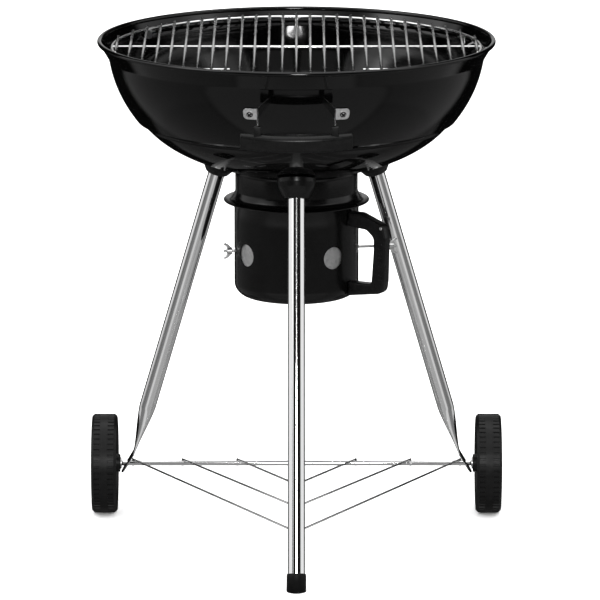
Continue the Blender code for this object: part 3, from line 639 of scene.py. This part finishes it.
def make_grate(name, node_name, ring_r, ring_wire, ring_z, bar_wire, bars, crosses):
    """A ring with parallel bars welded on top of it, and cross wires under the bars."""
    body = bmesh.new()
    turn_profile(body, circle(ring_r, ring_wire, ring_z), 180)
    bar_z = ring_z + ring_wire + bar_wire - WELD_SINK
    cross_z = bar_z - 2 * bar_wire + CROSS_SINK
    for lines, z in ((bars, bar_z), (crosses, cross_z)):
        for start, end in lines:
            run_wire(body, [(*start, z), (*end, z)], bar_wire)
    return stands_for(finished(name, body), node_name)


def bar_lines(pitch, count, reach):
    lines = []
    for i in range(count):
        x = (i - (count - 1) / 2) * pitch
        half = math.sqrt(reach ** 2 - x ** 2)
        lines.append(((x, -half), (x, half)))
    return lines


def make_grates():
    end = math.sqrt(GRATE_RING_R ** 2 - SHORT_WIRE_Y ** 2)
    crosses = [((-GRATE_RING_R, 0), (GRATE_RING_R, 0)),
               ((-end, SHORT_WIRE_Y), (-SHORT_WIRE_INNER_X, SHORT_WIRE_Y)),
               ((SHORT_WIRE_INNER_X, SHORT_WIRE_Y), (end, SHORT_WIRE_Y))]
    bars = bar_lines(GRATE_BAR_PITCH, GRATE_BAR_COUNT, GRATE_BAR_REACH)
    make_grate("cooking_grate_wires", "cooking_grate", GRATE_RING_R, GRATE_RING_WIRE, GRATE_RING_Z,
               GRATE_BAR_WIRE, bars, crosses)
    end = math.sqrt(COAL_RING_R ** 2 - COAL_CROSS_Y ** 2)
    crosses = [((-end, y), (end, y)) for y in (-COAL_CROSS_Y, COAL_CROSS_Y)]
    bars = bar_lines(COAL_BAR_PITCH, COAL_BAR_COUNT, COAL_RING_R)
    make_grate("charcoal_grate_wires", "charcoal_grate", COAL_RING_R, COAL_WIRE, COAL_RING_Z, COAL_WIRE,
               bars, crosses)


# ---- bowl handle

def tab_placement(side):
    """Local Z is the bowl's outward normal at the tab, and local Y runs up the wall."""
    azimuth = TAB_AZIMUTH * SIDES[side]
    rise = (TAB_DEPTH - UPPER_WALL.centre) / UPPER_WALL.height
    slope = UPPER_WALL.radius / UPPER_WALL.height * rise / math.sqrt(1 - rise ** 2)
    place = on_axis(azimuth, dish_radius(UPPER_WALL, TAB_DEPTH), RIM_Z - TAB_DEPTH)
    return axes(on_axis(azimuth + 90, 1, 0), on_axis(azimuth, 1, -slope), place)


def cross_recess(placement, top):
    """Two crossed blades that cut the driver's recess into a screw head."""
    tools = []
    for turn in (45, 135):
        spin = Matrix.Rotation(math.radians(turn), 4, "Z")
        blade = Matrix.Diagonal((RECESS_SIZE, RECESS_SIZE * 0.28, 2 * RECESS_DEPTH, 1))
        body = bmesh.new()
        bmesh.ops.create_cube(body, size=1.0, matrix=blade)
        tools.append(finished("tool", body, placement @ Matrix.Translation((0, 0, top)) @ spin))
    return tools


def make_handle_bracket(side):
    """The tab on the bowl's wall, with the arm that carries the grip."""
    sign = SIDES[side]
    placement = tab_placement(side)
    inner = -sign * TAB_INNER
    outer = sign * TAB_OUTER
    corners = [(inner, TAB_HALF_TALL, 0.0006), (inner, -TAB_HALF_TALL, 0.0006),
               (outer, -TAB_HALF_TALL, 0.0062), (outer, TAB_HALF_TALL, 0.0062)]
    tab = slab(f"handle_bracket_{side}", rounded(corners), TAB_THICK, 0.0004,
               placement @ Matrix.Translation((0, 0, GAP + TAB_THICK / 2)))
    upright = axes((0, 1, 0), (1, 0, 0), (sign * ARM_X, 0, 0))
    bracket = joined(tab, slab("arm", ARM_OUTLINE, TAB_THICK, 0.0004, upright))
    stands_for(bracket, f"bowl_handle_bracket_{side}")


def make_handle_screw(side):
    """A pan-head screw through the tab and the bowl's wall."""
    placement = tab_placement(side)
    seat = GAP + TAB_THICK + GAP
    top = seat + SCREW_HEAD_TALL
    outline = [(0, top, 0), (SCREW_HEAD_R * 0.6, top, 0.0016), (SCREW_HEAD_R, seat + 0.0008, 0.0006),
               (SCREW_HEAD_R, seat, 0.0002), (SCREW_SHANK_R, seat, 0),
               (SCREW_SHANK_R, -SCREW_REACH, 0.0005), (0, -SCREW_REACH, 0)]
    screw = turned(f"handle_screw_{side}", rounded(outline, False), 40, placement, looped=False)
    cut(screw, *cross_recess(placement, top))
    stands_for(screw, f"bowl_handle_screw_{side}")
    # The faces sunk inside the cross recess take the painted-shade finish, which darkens them as if they lay
    # in shade
    screw.data.materials.append(RECESS_SHADE)
    for face in screw.data.polygons:
        sunk = top - RECESS_DEPTH - 0.0004 < face.center.z < top - 0.0004
        face.material_index = int(sunk and face.center.xy.length < SCREW_HEAD_R - 0.0004)


def bowed(x, bow):
    """How far the grip's edge lies back at a distance along it."""
    radius = (GRIP_HALF_LENGTH ** 2 + bow ** 2) / (2 * bow)
    return radius - math.sqrt(radius ** 2 - x ** 2)


def grip_section(x, trim):
    """The grip's outline across its length, in (back, up), trimmed all round."""
    front = -GRIP_DEEP / 2 + bowed(x, GRIP_FRONT_BOW) + trim
    back = GRIP_DEEP / 2 + bowed(x, GRIP_BACK_BOW) - trim
    high = GRIP_TALL / 2 - trim
    soft = min(0.0078, 0.58 * (back - front))
    firm = min(0.0036, 0.30 * (back - front))
    corners = [(front, -high, firm), (back, -high, firm), (back, high, firm), (front, high, soft)]
    return [Vector((x, y, z)) for y, z in rounded(corners, segments=7)]


def make_grip():
    """A bowed grip, thickest and lowest in its middle, with a lug at each arm."""
    ends = [(GRIP_END_ROUND * (1 - math.sin(a)), GRIP_END_ROUND * (1 - math.cos(a)))
            for a in map(math.radians, (90, 60, 30, 0))]
    stations = [(-GRIP_HALF_LENGTH + inward, trim) for inward, trim in ends]
    stations += [(GRIP_HALF_LENGTH * k / 20, 0) for k in range(-19, 20)]
    stations += [(GRIP_HALF_LENGTH - inward, trim) for inward, trim in reversed(ends)]
    body = bmesh.new()
    skin(body, [grip_section(x, trim) for x, trim in stations])
    placement = Matrix.Translation((0, *GRIP_CENTRE)) @ Matrix.Rotation(GRIP_TILT, 4, "X")
    grip = baked(finished("handle_grip", body, placement))
    wide, deep, tall = (size / 2 for size in LUG_SIZE)
    corners = ((-wide, -deep), (wide, -deep), (wide, deep), (-wide, deep))
    outline = rounded([(x, y, LUG_CORNER_R) for x, y in corners])
    lugs = [slab("lug", outline, 2 * tall, 0.0008, Matrix.Translation((sign * ARM_X, *LUG_CENTRE)))
            for sign in SIDES.values()]
    stands_for(joined(grip, *lugs), "bowl_handle_grip")


# ---- legs

def leg_centre(azimuth, z):
    return on_axis(azimuth, LEG_GROUND_R - math.tan(LEG_LEAN) * z, z)


def leg_placement(azimuth):
    """Local -Z runs down the leg from the point where its axis meets the bowl."""
    turn = Matrix.Rotation(math.radians(azimuth), 4, "Z") @ Matrix.Rotation(-LEG_LEAN, 4, "X")
    return Matrix.Translation(leg_centre(azimuth, LEG_TOP_Z)) @ turn


def make_socket(name):
    inner = LEG_R + GAP
    profile = rounded([(inner, -0.0008, 0), (0.0284, -0.0008, 0.0012), (0.0280, -0.0075, 0.006),
                       (0.0262, -0.0150, 0.010), (0.0225, -0.0225, 0.012), (0.0170, -0.0308, 0.0012),
                       (inner, -0.0310, 0.0004)], True, 5)
    socket = turned(f"socket_{name}", profile, 72, leg_placement(LEG_AZIMUTHS[name]))
    stands_for(socket, f"leg_socket_{name}")


def make_front_leg():
    bore = LEG_R - LEG_WALL
    profile = [(bore, -LEG_SEAT), (LEG_R, -LEG_SEAT), (LEG_R, -FRONT_LEG_LENGTH), (bore, -FRONT_LEG_LENGTH)]
    stands_for(turned("front_leg_tube", profile, 96, leg_placement(0)), "leg_front")
    hole = LEG_R + GAP
    floor = -FRONT_LEG_LENGTH - GAP
    cap = rounded([(0, floor, 0), (hole, floor, 0), (hole, -FOOT_CAP_TOP, 0),
                   (FOOT_CAP_R - 0.0004, -FOOT_CAP_TOP, 0.0005), (FOOT_CAP_R, -FOOT_CAP_TOP - 0.003, 0.001),
                   (FOOT_CAP_R, -FOOT_CAP_REACH, 0), (0, -FOOT_CAP_REACH, 0)], False)
    foot = turned("front_foot_cap", cap, 72, leg_placement(0), looped=False)
    body = bmesh.new()
    bmesh.ops.create_cube(body, size=0.1, matrix=Matrix.Translation((0, -LEG_GROUND_R, -0.05)))
    stands_for(baked(cut(foot, finished("tool", body))), "foot_cap")


def rear_leg_stations(azimuth):
    """(centre, flatness) down the leg; from 1 to 2 the flat plate narrows to its round tip."""
    sign = 1 if azimuth < 180 else -1
    stations = [(leg_centre(azimuth, LEG_TOP_Z - 0.0023), 0.0), (leg_centre(azimuth, SQUEEZE_TOP_Z), 0.0)]
    for k in range(1, SQUEEZE_STEPS + 1):
        z = SQUEEZE_TOP_Z - (SQUEEZE_TOP_Z - PLATE_BEND_Z - 0.003) * k / SQUEEZE_STEPS
        stations.append((leg_centre(azimuth, z), k / SQUEEZE_STEPS))
    bend = leg_centre(azimuth, PLATE_BEND_Z)
    end = bend + Vector((sign * PLATE_SPREAD, 0, -1)) * PLATE_REACH
    turn_in = bent([stations[-1][0], bend, end], PLATE_BEND_R, 4)
    stations += [(place, 1.0) for place in turn_in[1:]]
    tip = [(PLATE_TIP_R * math.sin(a), math.cos(a)) for a in map(math.radians, range(10, 90, 8))]
    down = (end - bend).normalized()
    return stations + [(end + down * rise, 2.0 - share) for rise, share in tip]


def squeezed_ring(centre, along, flat):
    """The leg's outline across its length, which widens as it flattens."""
    across = along.cross(Vector((0, 1, 0))).normalized()
    depth = across.cross(along)
    squeeze = min(flat, 1.0)
    squeeze = 0.45 * squeeze + 0.55 * squeeze * squeeze * (3 - 2 * squeeze)
    thin = LEG_R + (PLATE_HALF_THICK - LEG_R) * squeeze
    wide = thin + (LEG_R - thin) * math.pi / 2
    wide *= 1.0 if flat <= 1 else 2.0 - flat
    power = 1 / (1 + 1.2 * squeeze)
    ring = []
    for k in range(LEG_SIDES):
        c, s = math.cos(math.tau * k / LEG_SIDES), math.sin(math.tau * k / LEG_SIDES)
        ring.append(centre + across * math.copysign(abs(c) ** power, c) * thin
                    + depth * math.copysign(abs(s) ** power, s) * wide)
    return ring


def make_rear_leg(name):
    """A tube whose lower end is squeezed into a flat plate and bent outwards."""
    stations = rear_leg_stations(LEG_AZIMUTHS[name])
    rings = []
    for i, (centre, flat) in enumerate(stations):
        along = stations[min(i + 1, len(stations) - 1)][0] - stations[max(i - 1, 0)][0]
        rings.append(squeezed_ring(centre, along.normalized(), flat))
    body = bmesh.new()
    skin(body, rings)
    stands_for(finished(f"{name}_leg_tube", body), f"leg_{name}")


# ---- wheels, axle and rack

def wheel_placement(side):
    """Local Z points outwards along the axle."""
    sign = SIDES[side]
    return axes((0, 0, -sign), (sign, 0, 0), (sign * WHEEL_X, AXLE_Y, AXLE_Z))


def tread_profile():
    """(radius, z, lug share) points across the rim, from the outer side to the inner one."""
    face = WHEEL_HALF
    lip = rounded([(RIM_LIP_R, face - 0.003, 0), (0.0640, face, 0.002), (0.0715, face, 0.0015),
                   (WHEEL_R, face - 0.0038, 0)], False)
    profile = [(r, z, 0) for r, z in lip[:-1]]
    for z, share in ((0.0152, 0), (0.0149, 1), (0.0060, 1), (0.0057, 0)):
        profile.append((WHEEL_R, z, share))
    return profile + [(r, -z, share) for r, z, share in reversed(profile)]


def make_wheel(side):
    bore = AXLE_R + GAP
    outer = rounded([(bore, HUB_OUTER_Z, 0), (HUB_R, HUB_OUTER_Z, 0.001), (HUB_R + 0.0012, WEB_HALF, 0.002),
                     (WEB_R, WEB_HALF, 0.003), (RIM_LIP_R, WHEEL_HALF - 0.003, 0)], False)
    inner = rounded([(RIM_LIP_R, -WHEEL_HALF + 0.003, 0), (WEB_R, -WEB_HALF, 0.003),
                     (HUB_R + 0.0012, -WEB_HALF, 0.002), (HUB_R, HUB_INNER_Z, 0.001),
                     (bore, HUB_INNER_Z, 0)], False)
    profile = [(r, z, 0) for r, z in outer[:-1]] + tread_profile() + [(r, z, 0) for r, z in inner[1:]]
    spokes = []
    for lug in range(LUG_COUNT):
        for turn, lowered in ((0.0, 0), (0.30, 0), (0.60, 0), (0.66, 1), (0.80, 1), (0.94, 1)):
            spokes.append((math.tau * (lug + turn) / LUG_COUNT, lowered))
    rings = []
    for r, z, share in profile:
        reach = [(r - LUG_DEPTH * share * low, a) for a, low in spokes]
        rings.append([Vector((out * math.cos(a), out * math.sin(a), z)) for out, a in reach])
    body = bmesh.new()
    skin(body, rings, looped=True)
    wheel = finished(f"wheel_{side}_moulding", body, wheel_placement(side), 30)
    ribs = []
    rib = rounded([(HUB_R - 0.001, 0.0028, 0), (HUB_R - 0.001, 0.0115, 0), (0.0200, 0.0115, 0.004),
                   (0.0500, 0.0095, 0.010), (0.0590, 0.0145, 0.002), (0.0590, 0.0028, 0)])
    for face in (1, -1):
        for k in range(RIB_COUNT):
            spin = Matrix.Rotation(math.tau * (k + (0.5 if face < 0 else 0)) / RIB_COUNT, 4, "Z")
            flip = axes((1, 0, 0), (0, -face, 0), (0, 0, 0))
            ribs.append(slab("rib", rib, RIB_THICK, 0.0006, wheel_placement(side) @ spin @ flip, 1))
    stands_for(joined(wheel, *ribs), f"wheel_{side}")


def make_axle_fittings(side):
    """The push-on cap outside the wheel and the washer inside it."""
    bore = AXLE_R + GAP
    cap = rounded([(0, 0.0180, 0), (0.0068, 0.0178, 0.003), (0.0092, 0.0150, 0.001), (0.0092, 0.0130, 0.0002),
                   (bore, 0.0130, 0), (bore, 0.0168, 0), (0, 0.0168, 0)], False)
    stands_for(turned(f"axle_cap_{side}_dome", cap, 48, wheel_placement(side), looped=False),
               f"axle_cap_{side}")
    near, far = HUB_INNER_Z - GAP, HUB_INNER_Z - GAP - WASHER_THICK
    washer = rounded([(bore, near, 0.0002), (WASHER_R, near, 0.0003), (WASHER_R, far, 0.0003),
                      (bore, far, 0.0002)])
    stands_for(turned(f"axle_washer_{side}_ring", washer, 48, wheel_placement(side)),
               f"axle_washer_{side}")


def make_axle():
    half = AXLE_HALF
    profile = rounded([(0, half, 0), (AXLE_R, half, 0.001), (AXLE_R, -half, 0.001), (0, -half, 0)], False)
    sideways = axes((0, 0, -1), (1, 0, 0), (0, AXLE_Y, AXLE_Z))
    stands_for(turned("axle_rod", profile, 40, sideways, looped=False), "axle")


def hook_points(x):
    """From behind the axle, up and over it."""
    radius = AXLE_R + GAP + RACK_WIRE
    return [(x, AXLE_Y + y, AXLE_Z + z) for y, z in arc((0, 0), radius, -50, 90, 15)]


def make_rack():
    top = AXLE_Z + AXLE_R + GAP + RACK_WIRE
    for name, x in RACK_HOOK_X.items():
        apex_y = RACK_APEX_Y[name]
        drop = RACK_FRONT_DROP * (AXLE_Y - apex_y) / (AXLE_Y - RACK_APEX_Y["outer"])
        hook = hook_points(x)
        left = [(-x, y, z) for x, y, z in hook]
        bend = bent([left[-1], (0, apex_y - 0.0012, top - drop), hook[-1]], 0.010, 10)[1:-1]
        stands_for(wire(f"rack_{name}_wire", left + bend + hook[::-1], RACK_WIRE), f"rack_wire_{name}")
    hook = hook_points(0.0)
    z = AXLE_Z - SPINE_DROP
    end = leg_centre(0, z).y + 0.006
    line = bent([hook[-2], hook[-1], (0, AXLE_Y - 0.006, top - 0.0012), (0, AXLE_Y - 0.022, z), (0, end, z)],
                0.006)
    stands_for(wire("rack_spine_wire", hook[:-2] + line, RACK_WIRE), "rack_spine")


# ---- ash collar, pot and damper

def make_collar():
    corners = [(NECK_R, NECK_SEAM_Z, 0.0006), (NECK_R, FLANGE_Z + 0.0150, 0.012),
               (NECK_R + 0.0022, FLANGE_Z + 0.0070, 0.007), (NECK_R + 0.0075, FLANGE_Z + 0.0024, 0.008),
               (FLANGE_R, FLANGE_Z + 0.0014, 0.0006), (FLANGE_R, FLANGE_Z, 0.0006),
               (SPIGOT_R, FLANGE_Z, 0.0004), (SPIGOT_R, SPIGOT_BOTTOM_Z, 0.0005),
               (SPIGOT_R - SHEET, SPIGOT_BOTTOM_Z, 0.0005), (SPIGOT_R - SHEET, NECK_SEAM_Z, 0.0005)]
    stands_for(turned("collar_shell", rounded(corners), 224), "ash_collar")


def vent_tools(turn):
    """One round cutter for each vent, turned about the pot's axis."""
    return [rod_tool(VENT_R, *(on_axis(azimuth + turn, reach, VENT_Z) for reach in VENT_CUT))
            for azimuth in VENT_AZIMUTHS]


def slot_tool(azimuth):
    """A slot that lets the damper rod swing by the damper's turn."""
    centre = azimuth - DAMPER_TURN / 2
    half = POT_R * math.sin(math.radians(DAMPER_TURN / 2)) + ROD_R + 0.0008
    high = ROD_R + 0.0007
    corners = ((-half, -high), (half, -high), (half, high), (-half, high))
    outline = rounded([(x, y, high * 0.99) for x, y in corners])
    placement = axes(on_axis(centre + 90, 1, 0), on_axis(centre, 1, 0), on_axis(centre, POT_R - 0.002, ROD_Z))
    return slab("tool", outline, 0.020, 0.0, placement)


def make_pot():
    corner_at = (POT_R - POT_CORNER_R, POT_BOTTOM_Z + POT_CORNER_R)
    top = FLANGE_Z - GAP
    lip = arc((POT_R + 0.0001, top - POT_LIP_R), POT_LIP_R, 150, -60, 9)
    heights = [0.410 + 0.012 * k for k in range(7)]
    outside = lip + [(POT_R, top - 0.0030)] + [(POT_R, z) for z in reversed(heights)]
    outside += arc(corner_at, POT_CORNER_R, 0, -90, 16)
    floor = POT_BOTTOM_Z + POT_WALL
    inside = arc(corner_at, POT_CORNER_R - POT_WALL, -90, 0, 16)
    inside += [(POT_R - POT_WALL, z) for z in heights]
    inside.append((POT_R - POT_WALL, top - POT_LIP_R))
    profile = outside + [(0.03, POT_BOTTOM_Z), (0, POT_BOTTOM_Z), (0, floor), (0.03, floor)] + inside
    pot = turned("pot_shell", profile, 224)
    tools = vent_tools(0)
    tools += [slot_tool(azimuth) for azimuth in (ROD_AZIMUTH, ROD_AZIMUTH + 180)]
    stands_for(round_normals(cut(pot, *tools), 0.40, 0.49), "ash_pot")


def make_damper():
    """A sheet ring inside the pot, with the same vents turned away from the pot's own."""
    low, high = VENT_Z - DAMPER_HALF_HEIGHT, VENT_Z + DAMPER_HALF_HEIGHT
    inner = DAMPER_R - DAMPER_SHEET
    ring = turned("damper_sheet", [(DAMPER_R, high), (DAMPER_R, low), (inner, low), (inner, high)], 224)
    stands_for(round_normals(cut(ring, *vent_tools(DAMPER_TURN)), low, high), "damper_ring")


def rod_placement(sign, distance):
    """Local Z points outwards along the rod, and local Y is up."""
    outward = on_axis(ROD_AZIMUTH, sign, 0)
    return axes(outward.cross(Vector((0, 0, 1))), outward, outward * distance + Vector((0, 0, ROD_Z)))


def make_rod():
    """The rod's ends are threaded as far as the wing nuts need."""
    def thread(start, end):
        turns = int((end - start) / THREAD_PITCH)
        points = []
        for k in range(turns):
            z = start + k * THREAD_PITCH
            points += [(ROD_R, z), (ROD_R, z + 0.3 * THREAD_PITCH), (ROD_R - 0.0003, z + 0.5 * THREAD_PITCH),
                       (ROD_R - 0.0003, z + 0.8 * THREAD_PITCH)]
        return points
    profile = [(0, -ROD_LEFT), (ROD_R - 0.0004, -ROD_LEFT)] + thread(-ROD_LEFT + 0.0004, -DAMPER_R + 0.004)
    profile += thread(DAMPER_R - 0.004, ROD_RIGHT - 0.0008)
    profile += [(ROD_R - 0.0004, ROD_RIGHT), (0, ROD_RIGHT)]
    stands_for(turned("damper_lever_rod", profile, 28, rod_placement(1, 0), looped=False, sharp=60),
               "damper_rod")


def make_wing_nut(side):
    placement = rod_placement(SIDES[side], NUT_DISTANCE[side])
    bore = ROD_R + GAP
    hub = rounded([(bore, 0.0078, 0.0003), (0.0040, 0.0078, 0.0008), (0.0052, 0.0008, 0.0006),
                   (0.0052, 0, 0.0003), (bore, 0, 0.0003)])
    nut = turned(f"wing_nut_{side}_casting", hub, 40, placement)
    wings = []
    for up in (1, -1):
        corners = [(0.0032, 0.0010, 0.0003), (0.0052, 0.0010, 0.001), (0.0098, 0.0055, 0.004),
                   (0.0124, 0.0105, 0.0012), (0.0102, 0.0134, 0.0012), (0.0072, 0.0088, 0.002),
                   (0.0032, 0.0066, 0.0003)]
        outline = rounded([(up * y, z, radius) for y, z, radius in corners], segments=5)
        wings.append(slab("wing", outline, 0.0026, 0.0006, placement @ axes((0, 1, 0), (1, 0, 0), (0, 0, 0))))
    stands_for(joined(nut, *wings), f"wing_nut_{side}")


def make_pot_handle():
    """A mug-like handle; its outline lies in the upright plane at its azimuth."""
    foot = POT_R + 0.0006
    corners = [(foot, 0.5035, 0.001), (0.1120, 0.5035, 0.014), (0.1505, 0.4885, 0.009),
               (0.1542, 0.4700, 0.010), (0.1525, 0.4050, 0.010), (0.1500, 0.3868, 0.012),
               (foot - 0.0030, 0.3780, 0.001), (foot, 0.3875, 0.001)]
    inside = rounded([(0, 0, 0), (foot, 0.3989, 0.0008), (0.1310, 0.3996, 0.005), (0.1347, 0.4500, 0.030),
                      (0.1347, 0.4690, 0.011), (0.1225, 0.4800, 0.012), (foot, 0.4825, 0.0008)])[1:]
    outline = rounded(corners) + inside
    radial = on_axis(HANDLE_AZIMUTH, 1, 0)
    placement = axes(radial, radial.cross(Vector((0, 0, 1))), (0, 0, 0))
    handle = slab("pot_handle_moulding", outline, 2 * HANDLE_HALF_WIDE, 0.0026, placement, 4)
    ridges = []
    for face in (1, -1):
        for k in range(RIDGE_COUNT):
            ridge = rounded([(0.1428, 0, 0.0006), (0.1496, 0, 0.0006), (0.1496, 0.0016, 0.0006),
                             (0.1428, 0.0016, 0.0006)], segments=3)
            height = RIDGE_BOTTOM_Z + RIDGE_PITCH * k
            place = Matrix.Translation((0, height, face * (HANDLE_HALF_WIDE - 0.0001)))
            ridges.append(slab("ridge", ridge, 0.0012, 0.0004, placement @ place, 1))
    stands_for(joined(handle, *ridges), "pot_handle")
    pin_at = placement @ Matrix.Translation((*PIN_PLACE, 0))
    face = HANDLE_HALF_WIDE + GAP
    pin = rounded([(0, face + 0.0010, 0), (0.0018, face + 0.0009, 0.0008), (0.0026, face, 0.0002),
                   (0.0018, face, 0), (0.0018, -face + 0.001, 0), (0, -face + 0.001, 0)], False)
    stands_for(turned("pot_handle_pin_head", pin, 32, pin_at, looped=False), "pot_handle_pin")


# ---- small CAD pieces that stay

def keep_rest():
    """The small pieces keep their CAD shape, with softened edges and a proper finish."""
    for name, obj in frame["nodes"].items():
        if obj.hide_render:
            continue
        obj.data.materials.clear()
        obj.data.materials.append(MATERIALS[SLOT_OF[name]])
        softened = obj.modifiers.new("edges", "BEVEL")
        softened.width = 0.0003
        softened.segments = 2
        softened.limit_method = "ANGLE"
        softened.angle_limit = math.radians(40)


make_bowl()
make_grates()
make_grip()
for side_name in SIDES:
    make_handle_bracket(side_name)
    make_handle_screw(side_name)
    make_wheel(side_name)
    make_axle_fittings(side_name)
    make_wing_nut(side_name)
for leg_name in LEG_AZIMUTHS:
    make_socket(leg_name)
make_front_leg()
make_rear_leg("rear_right")
make_rear_leg("rear_left")
make_axle()
make_rack()
make_collar()
make_pot()
make_damper()
make_rod()
make_pot_handle()
keep_rest()


# ---- stage

LAMP_AIM = Vector((0, 0, 0.65))
CAMERA_PLACE = KETTLE + Vector((0.0052, -8.0, 2.1122))
CAMERA_LENS = 331.5
CAMERA_DIP = 0.2156
FLOOR_R = 60


def area_light(name, azimuth, elevation, distance, size, radiance):
    """A softbox that faces the grill and isn't itself seen by the camera."""
    light = bpy.data.lights.new(name, "AREA")
    light.shape = "ELLIPSE"
    light.size, light.size_y = size
    light.energy = math.pi * radiance * (math.pi / 4) * size[0] * size[1]
    obj = bpy.data.objects.new(name, light)
    bpy.context.scene.collection.objects.link(obj)
    rise = math.radians(elevation)
    aim = KETTLE + LAMP_AIM
    obj.location = aim + on_axis(azimuth, distance * math.cos(rise), distance * math.sin(rise))
    obj.rotation_euler = (aim - obj.location).to_track_quat("-Z", "Y").to_euler()
    obj.visible_camera = False


def make_camera():
    data = bpy.data.cameras.new("camera")
    data.lens = CAMERA_LENS
    data.sensor_width = 36.0
    data.clip_end = 200.0
    camera = bpy.data.objects.new("camera", data)
    bpy.context.scene.collection.objects.link(camera)
    camera.location = CAMERA_PLACE
    camera.rotation_euler = (math.radians(90) - CAMERA_DIP, 0.0, 0.0)
    bpy.context.scene.camera = camera


def make_floor():
    made = bpy.data.materials.new("floor")
    made.use_nodes = True
    shader = made.node_tree.nodes["Principled BSDF"]
    shader.inputs["Base Color"].default_value = (0.9, 0.9, 0.9, 1)
    shader.inputs["Roughness"].default_value = 0.9
    body = bmesh.new()
    bmesh.ops.create_circle(body, cap_ends=True, segments=96, radius=FLOOR_R)
    mesh = bpy.data.meshes.new("floor")
    body.to_mesh(mesh)
    body.free()
    floor = bpy.data.objects.new("floor", mesh)
    bpy.context.scene.collection.objects.link(floor)
    floor.data.materials.append(made)
    floor.visible_glossy = False


def math_node(tree, operation, *inputs):
    made = node(tree, "ShaderNodeMath", operation=operation)
    for socket, value in zip(made.inputs, inputs):
        if isinstance(value, (int, float)):
            socket.default_value = value
        else:
            tree.links.new(value, socket)
    return made.outputs["Value"]


def ramp(tree, value, start, end):
    """Rises smoothly from 0 to 1 between two values, or falls when end is below start."""
    made = node(tree, "ShaderNodeMapRange", interpolation_type="SMOOTHSTEP")
    low, high = sorted((start, end))
    at_low, at_high = (0.0, 1.0) if start < end else (1.0, 0.0)
    for socket, setting in (("From Min", low), ("From Max", high), ("To Min", at_low), ("To Max", at_high)):
        made.inputs[socket].default_value = setting
    tree.links.new(value, made.inputs["Value"])
    return made.outputs["Result"]


# Each studio panel: azimuths from and to, heights from and to (sines of the elevation),
# radiance, and the softness of its edges in degrees
STUDIO_PANELS = (
    (-4, 4, 0.10, 0.46, 0.45, 3),
    (-75, 75, 0.50, 0.80, 0.40, 12),
    (-122, -60, -0.09, 0.75, 1.00, 9),
    (60, 118, -0.09, 0.75, 1.00, 9),
    (-112, -60, 0.48, 0.82, 1.40, 12),
    (-82, -45, 0.28, 0.72, 2.00, 16),
    (45, 82, 0.42, 0.76, 1.10, 16),
    (166, 194, 0.00, 0.50, 0.55, 8),
    (-194, -166, 0.00, 0.50, 0.55, 8),
    (-200, 200, 0.78, 1.50, 2.20, 8),
    (-62, 62, -0.95, -0.44, 0.45, 8),
    (-62, 62, -0.44, -0.10, 0.22, 8),
    (-62, 62, -0.46, -0.34, 0.52, 8),
    (-138, -63, -0.95, -0.62, 0.24, 10),
    (63, 138, -0.95, -0.62, 0.28, 10),
    (-138, -63, -0.62, -0.30, 0.28, 10),
    (63, 138, -0.62, -0.30, 0.34, 10),
    (-138, -63, -0.30, -0.10, 0.17, 10),
    (63, 138, -0.30, -0.10, 0.19, 10),
    (-200, -138, -0.95, -0.55, 0.11, 10),
    (138, 200, -0.95, -0.55, 0.11, 10),
    (-200, 200, -1.50, -0.95, 0.14, 6),
)
ROOM_RADIANCE = 0.006
FILL_RADIANCE = 2.4


def make_world():
    """An even white fill for matt surfaces, and a studio of panels for the reflections."""
    world = bpy.data.worlds.new("studio")
    bpy.context.scene.world = world
    world.use_nodes = True
    world.cycles.sampling_method = "NONE"
    tree = world.node_tree
    place = node(tree, "ShaderNodeSeparateXYZ")
    tree.links.new(node(tree, "ShaderNodeTexCoord").outputs["Generated"], place.inputs["Vector"])
    forward = math_node(tree, "MULTIPLY", place.outputs["Y"], -1.0)
    azimuth = math_node(tree, "ARCTAN2", place.outputs["X"], forward)
    total = None
    for start, end, low, high, radiance, soft in STUDIO_PANELS:
        half = math.radians(soft / 2)
        factors = (ramp(tree, azimuth, math.radians(start) - half, math.radians(start) + half),
                   ramp(tree, azimuth, math.radians(end) + half, math.radians(end) - half),
                   ramp(tree, place.outputs["Z"], low - 0.03, low + 0.03),
                   ramp(tree, place.outputs["Z"], high + 0.03, high - 0.03))
        amount = radiance
        for factor in factors:
            amount = math_node(tree, "MULTIPLY", factor, amount)
        total = math_node(tree, "ADD", amount, ROOM_RADIANCE if total is None else total)
    glossy = node(tree, "ShaderNodeLightPath").outputs["Is Glossy Ray"]
    choice = node(tree, "ShaderNodeMix", data_type="FLOAT")
    tree.links.new(glossy, choice.inputs["Factor"])
    choice.inputs["A"].default_value = FILL_RADIANCE
    tree.links.new(total, choice.inputs["B"])
    background = tree.nodes["Background"]
    background.inputs["Color"].default_value = (1, 1, 1, 1)
    tree.links.new(choice.outputs["Result"], background.inputs["Strength"])


make_camera()
make_floor()
make_world()
area_light("front_lamp", 1.5, 15, 6.0, (0.9, 1.0), 60)
bpy.context.scene.view_settings.view_transform = "Standard"
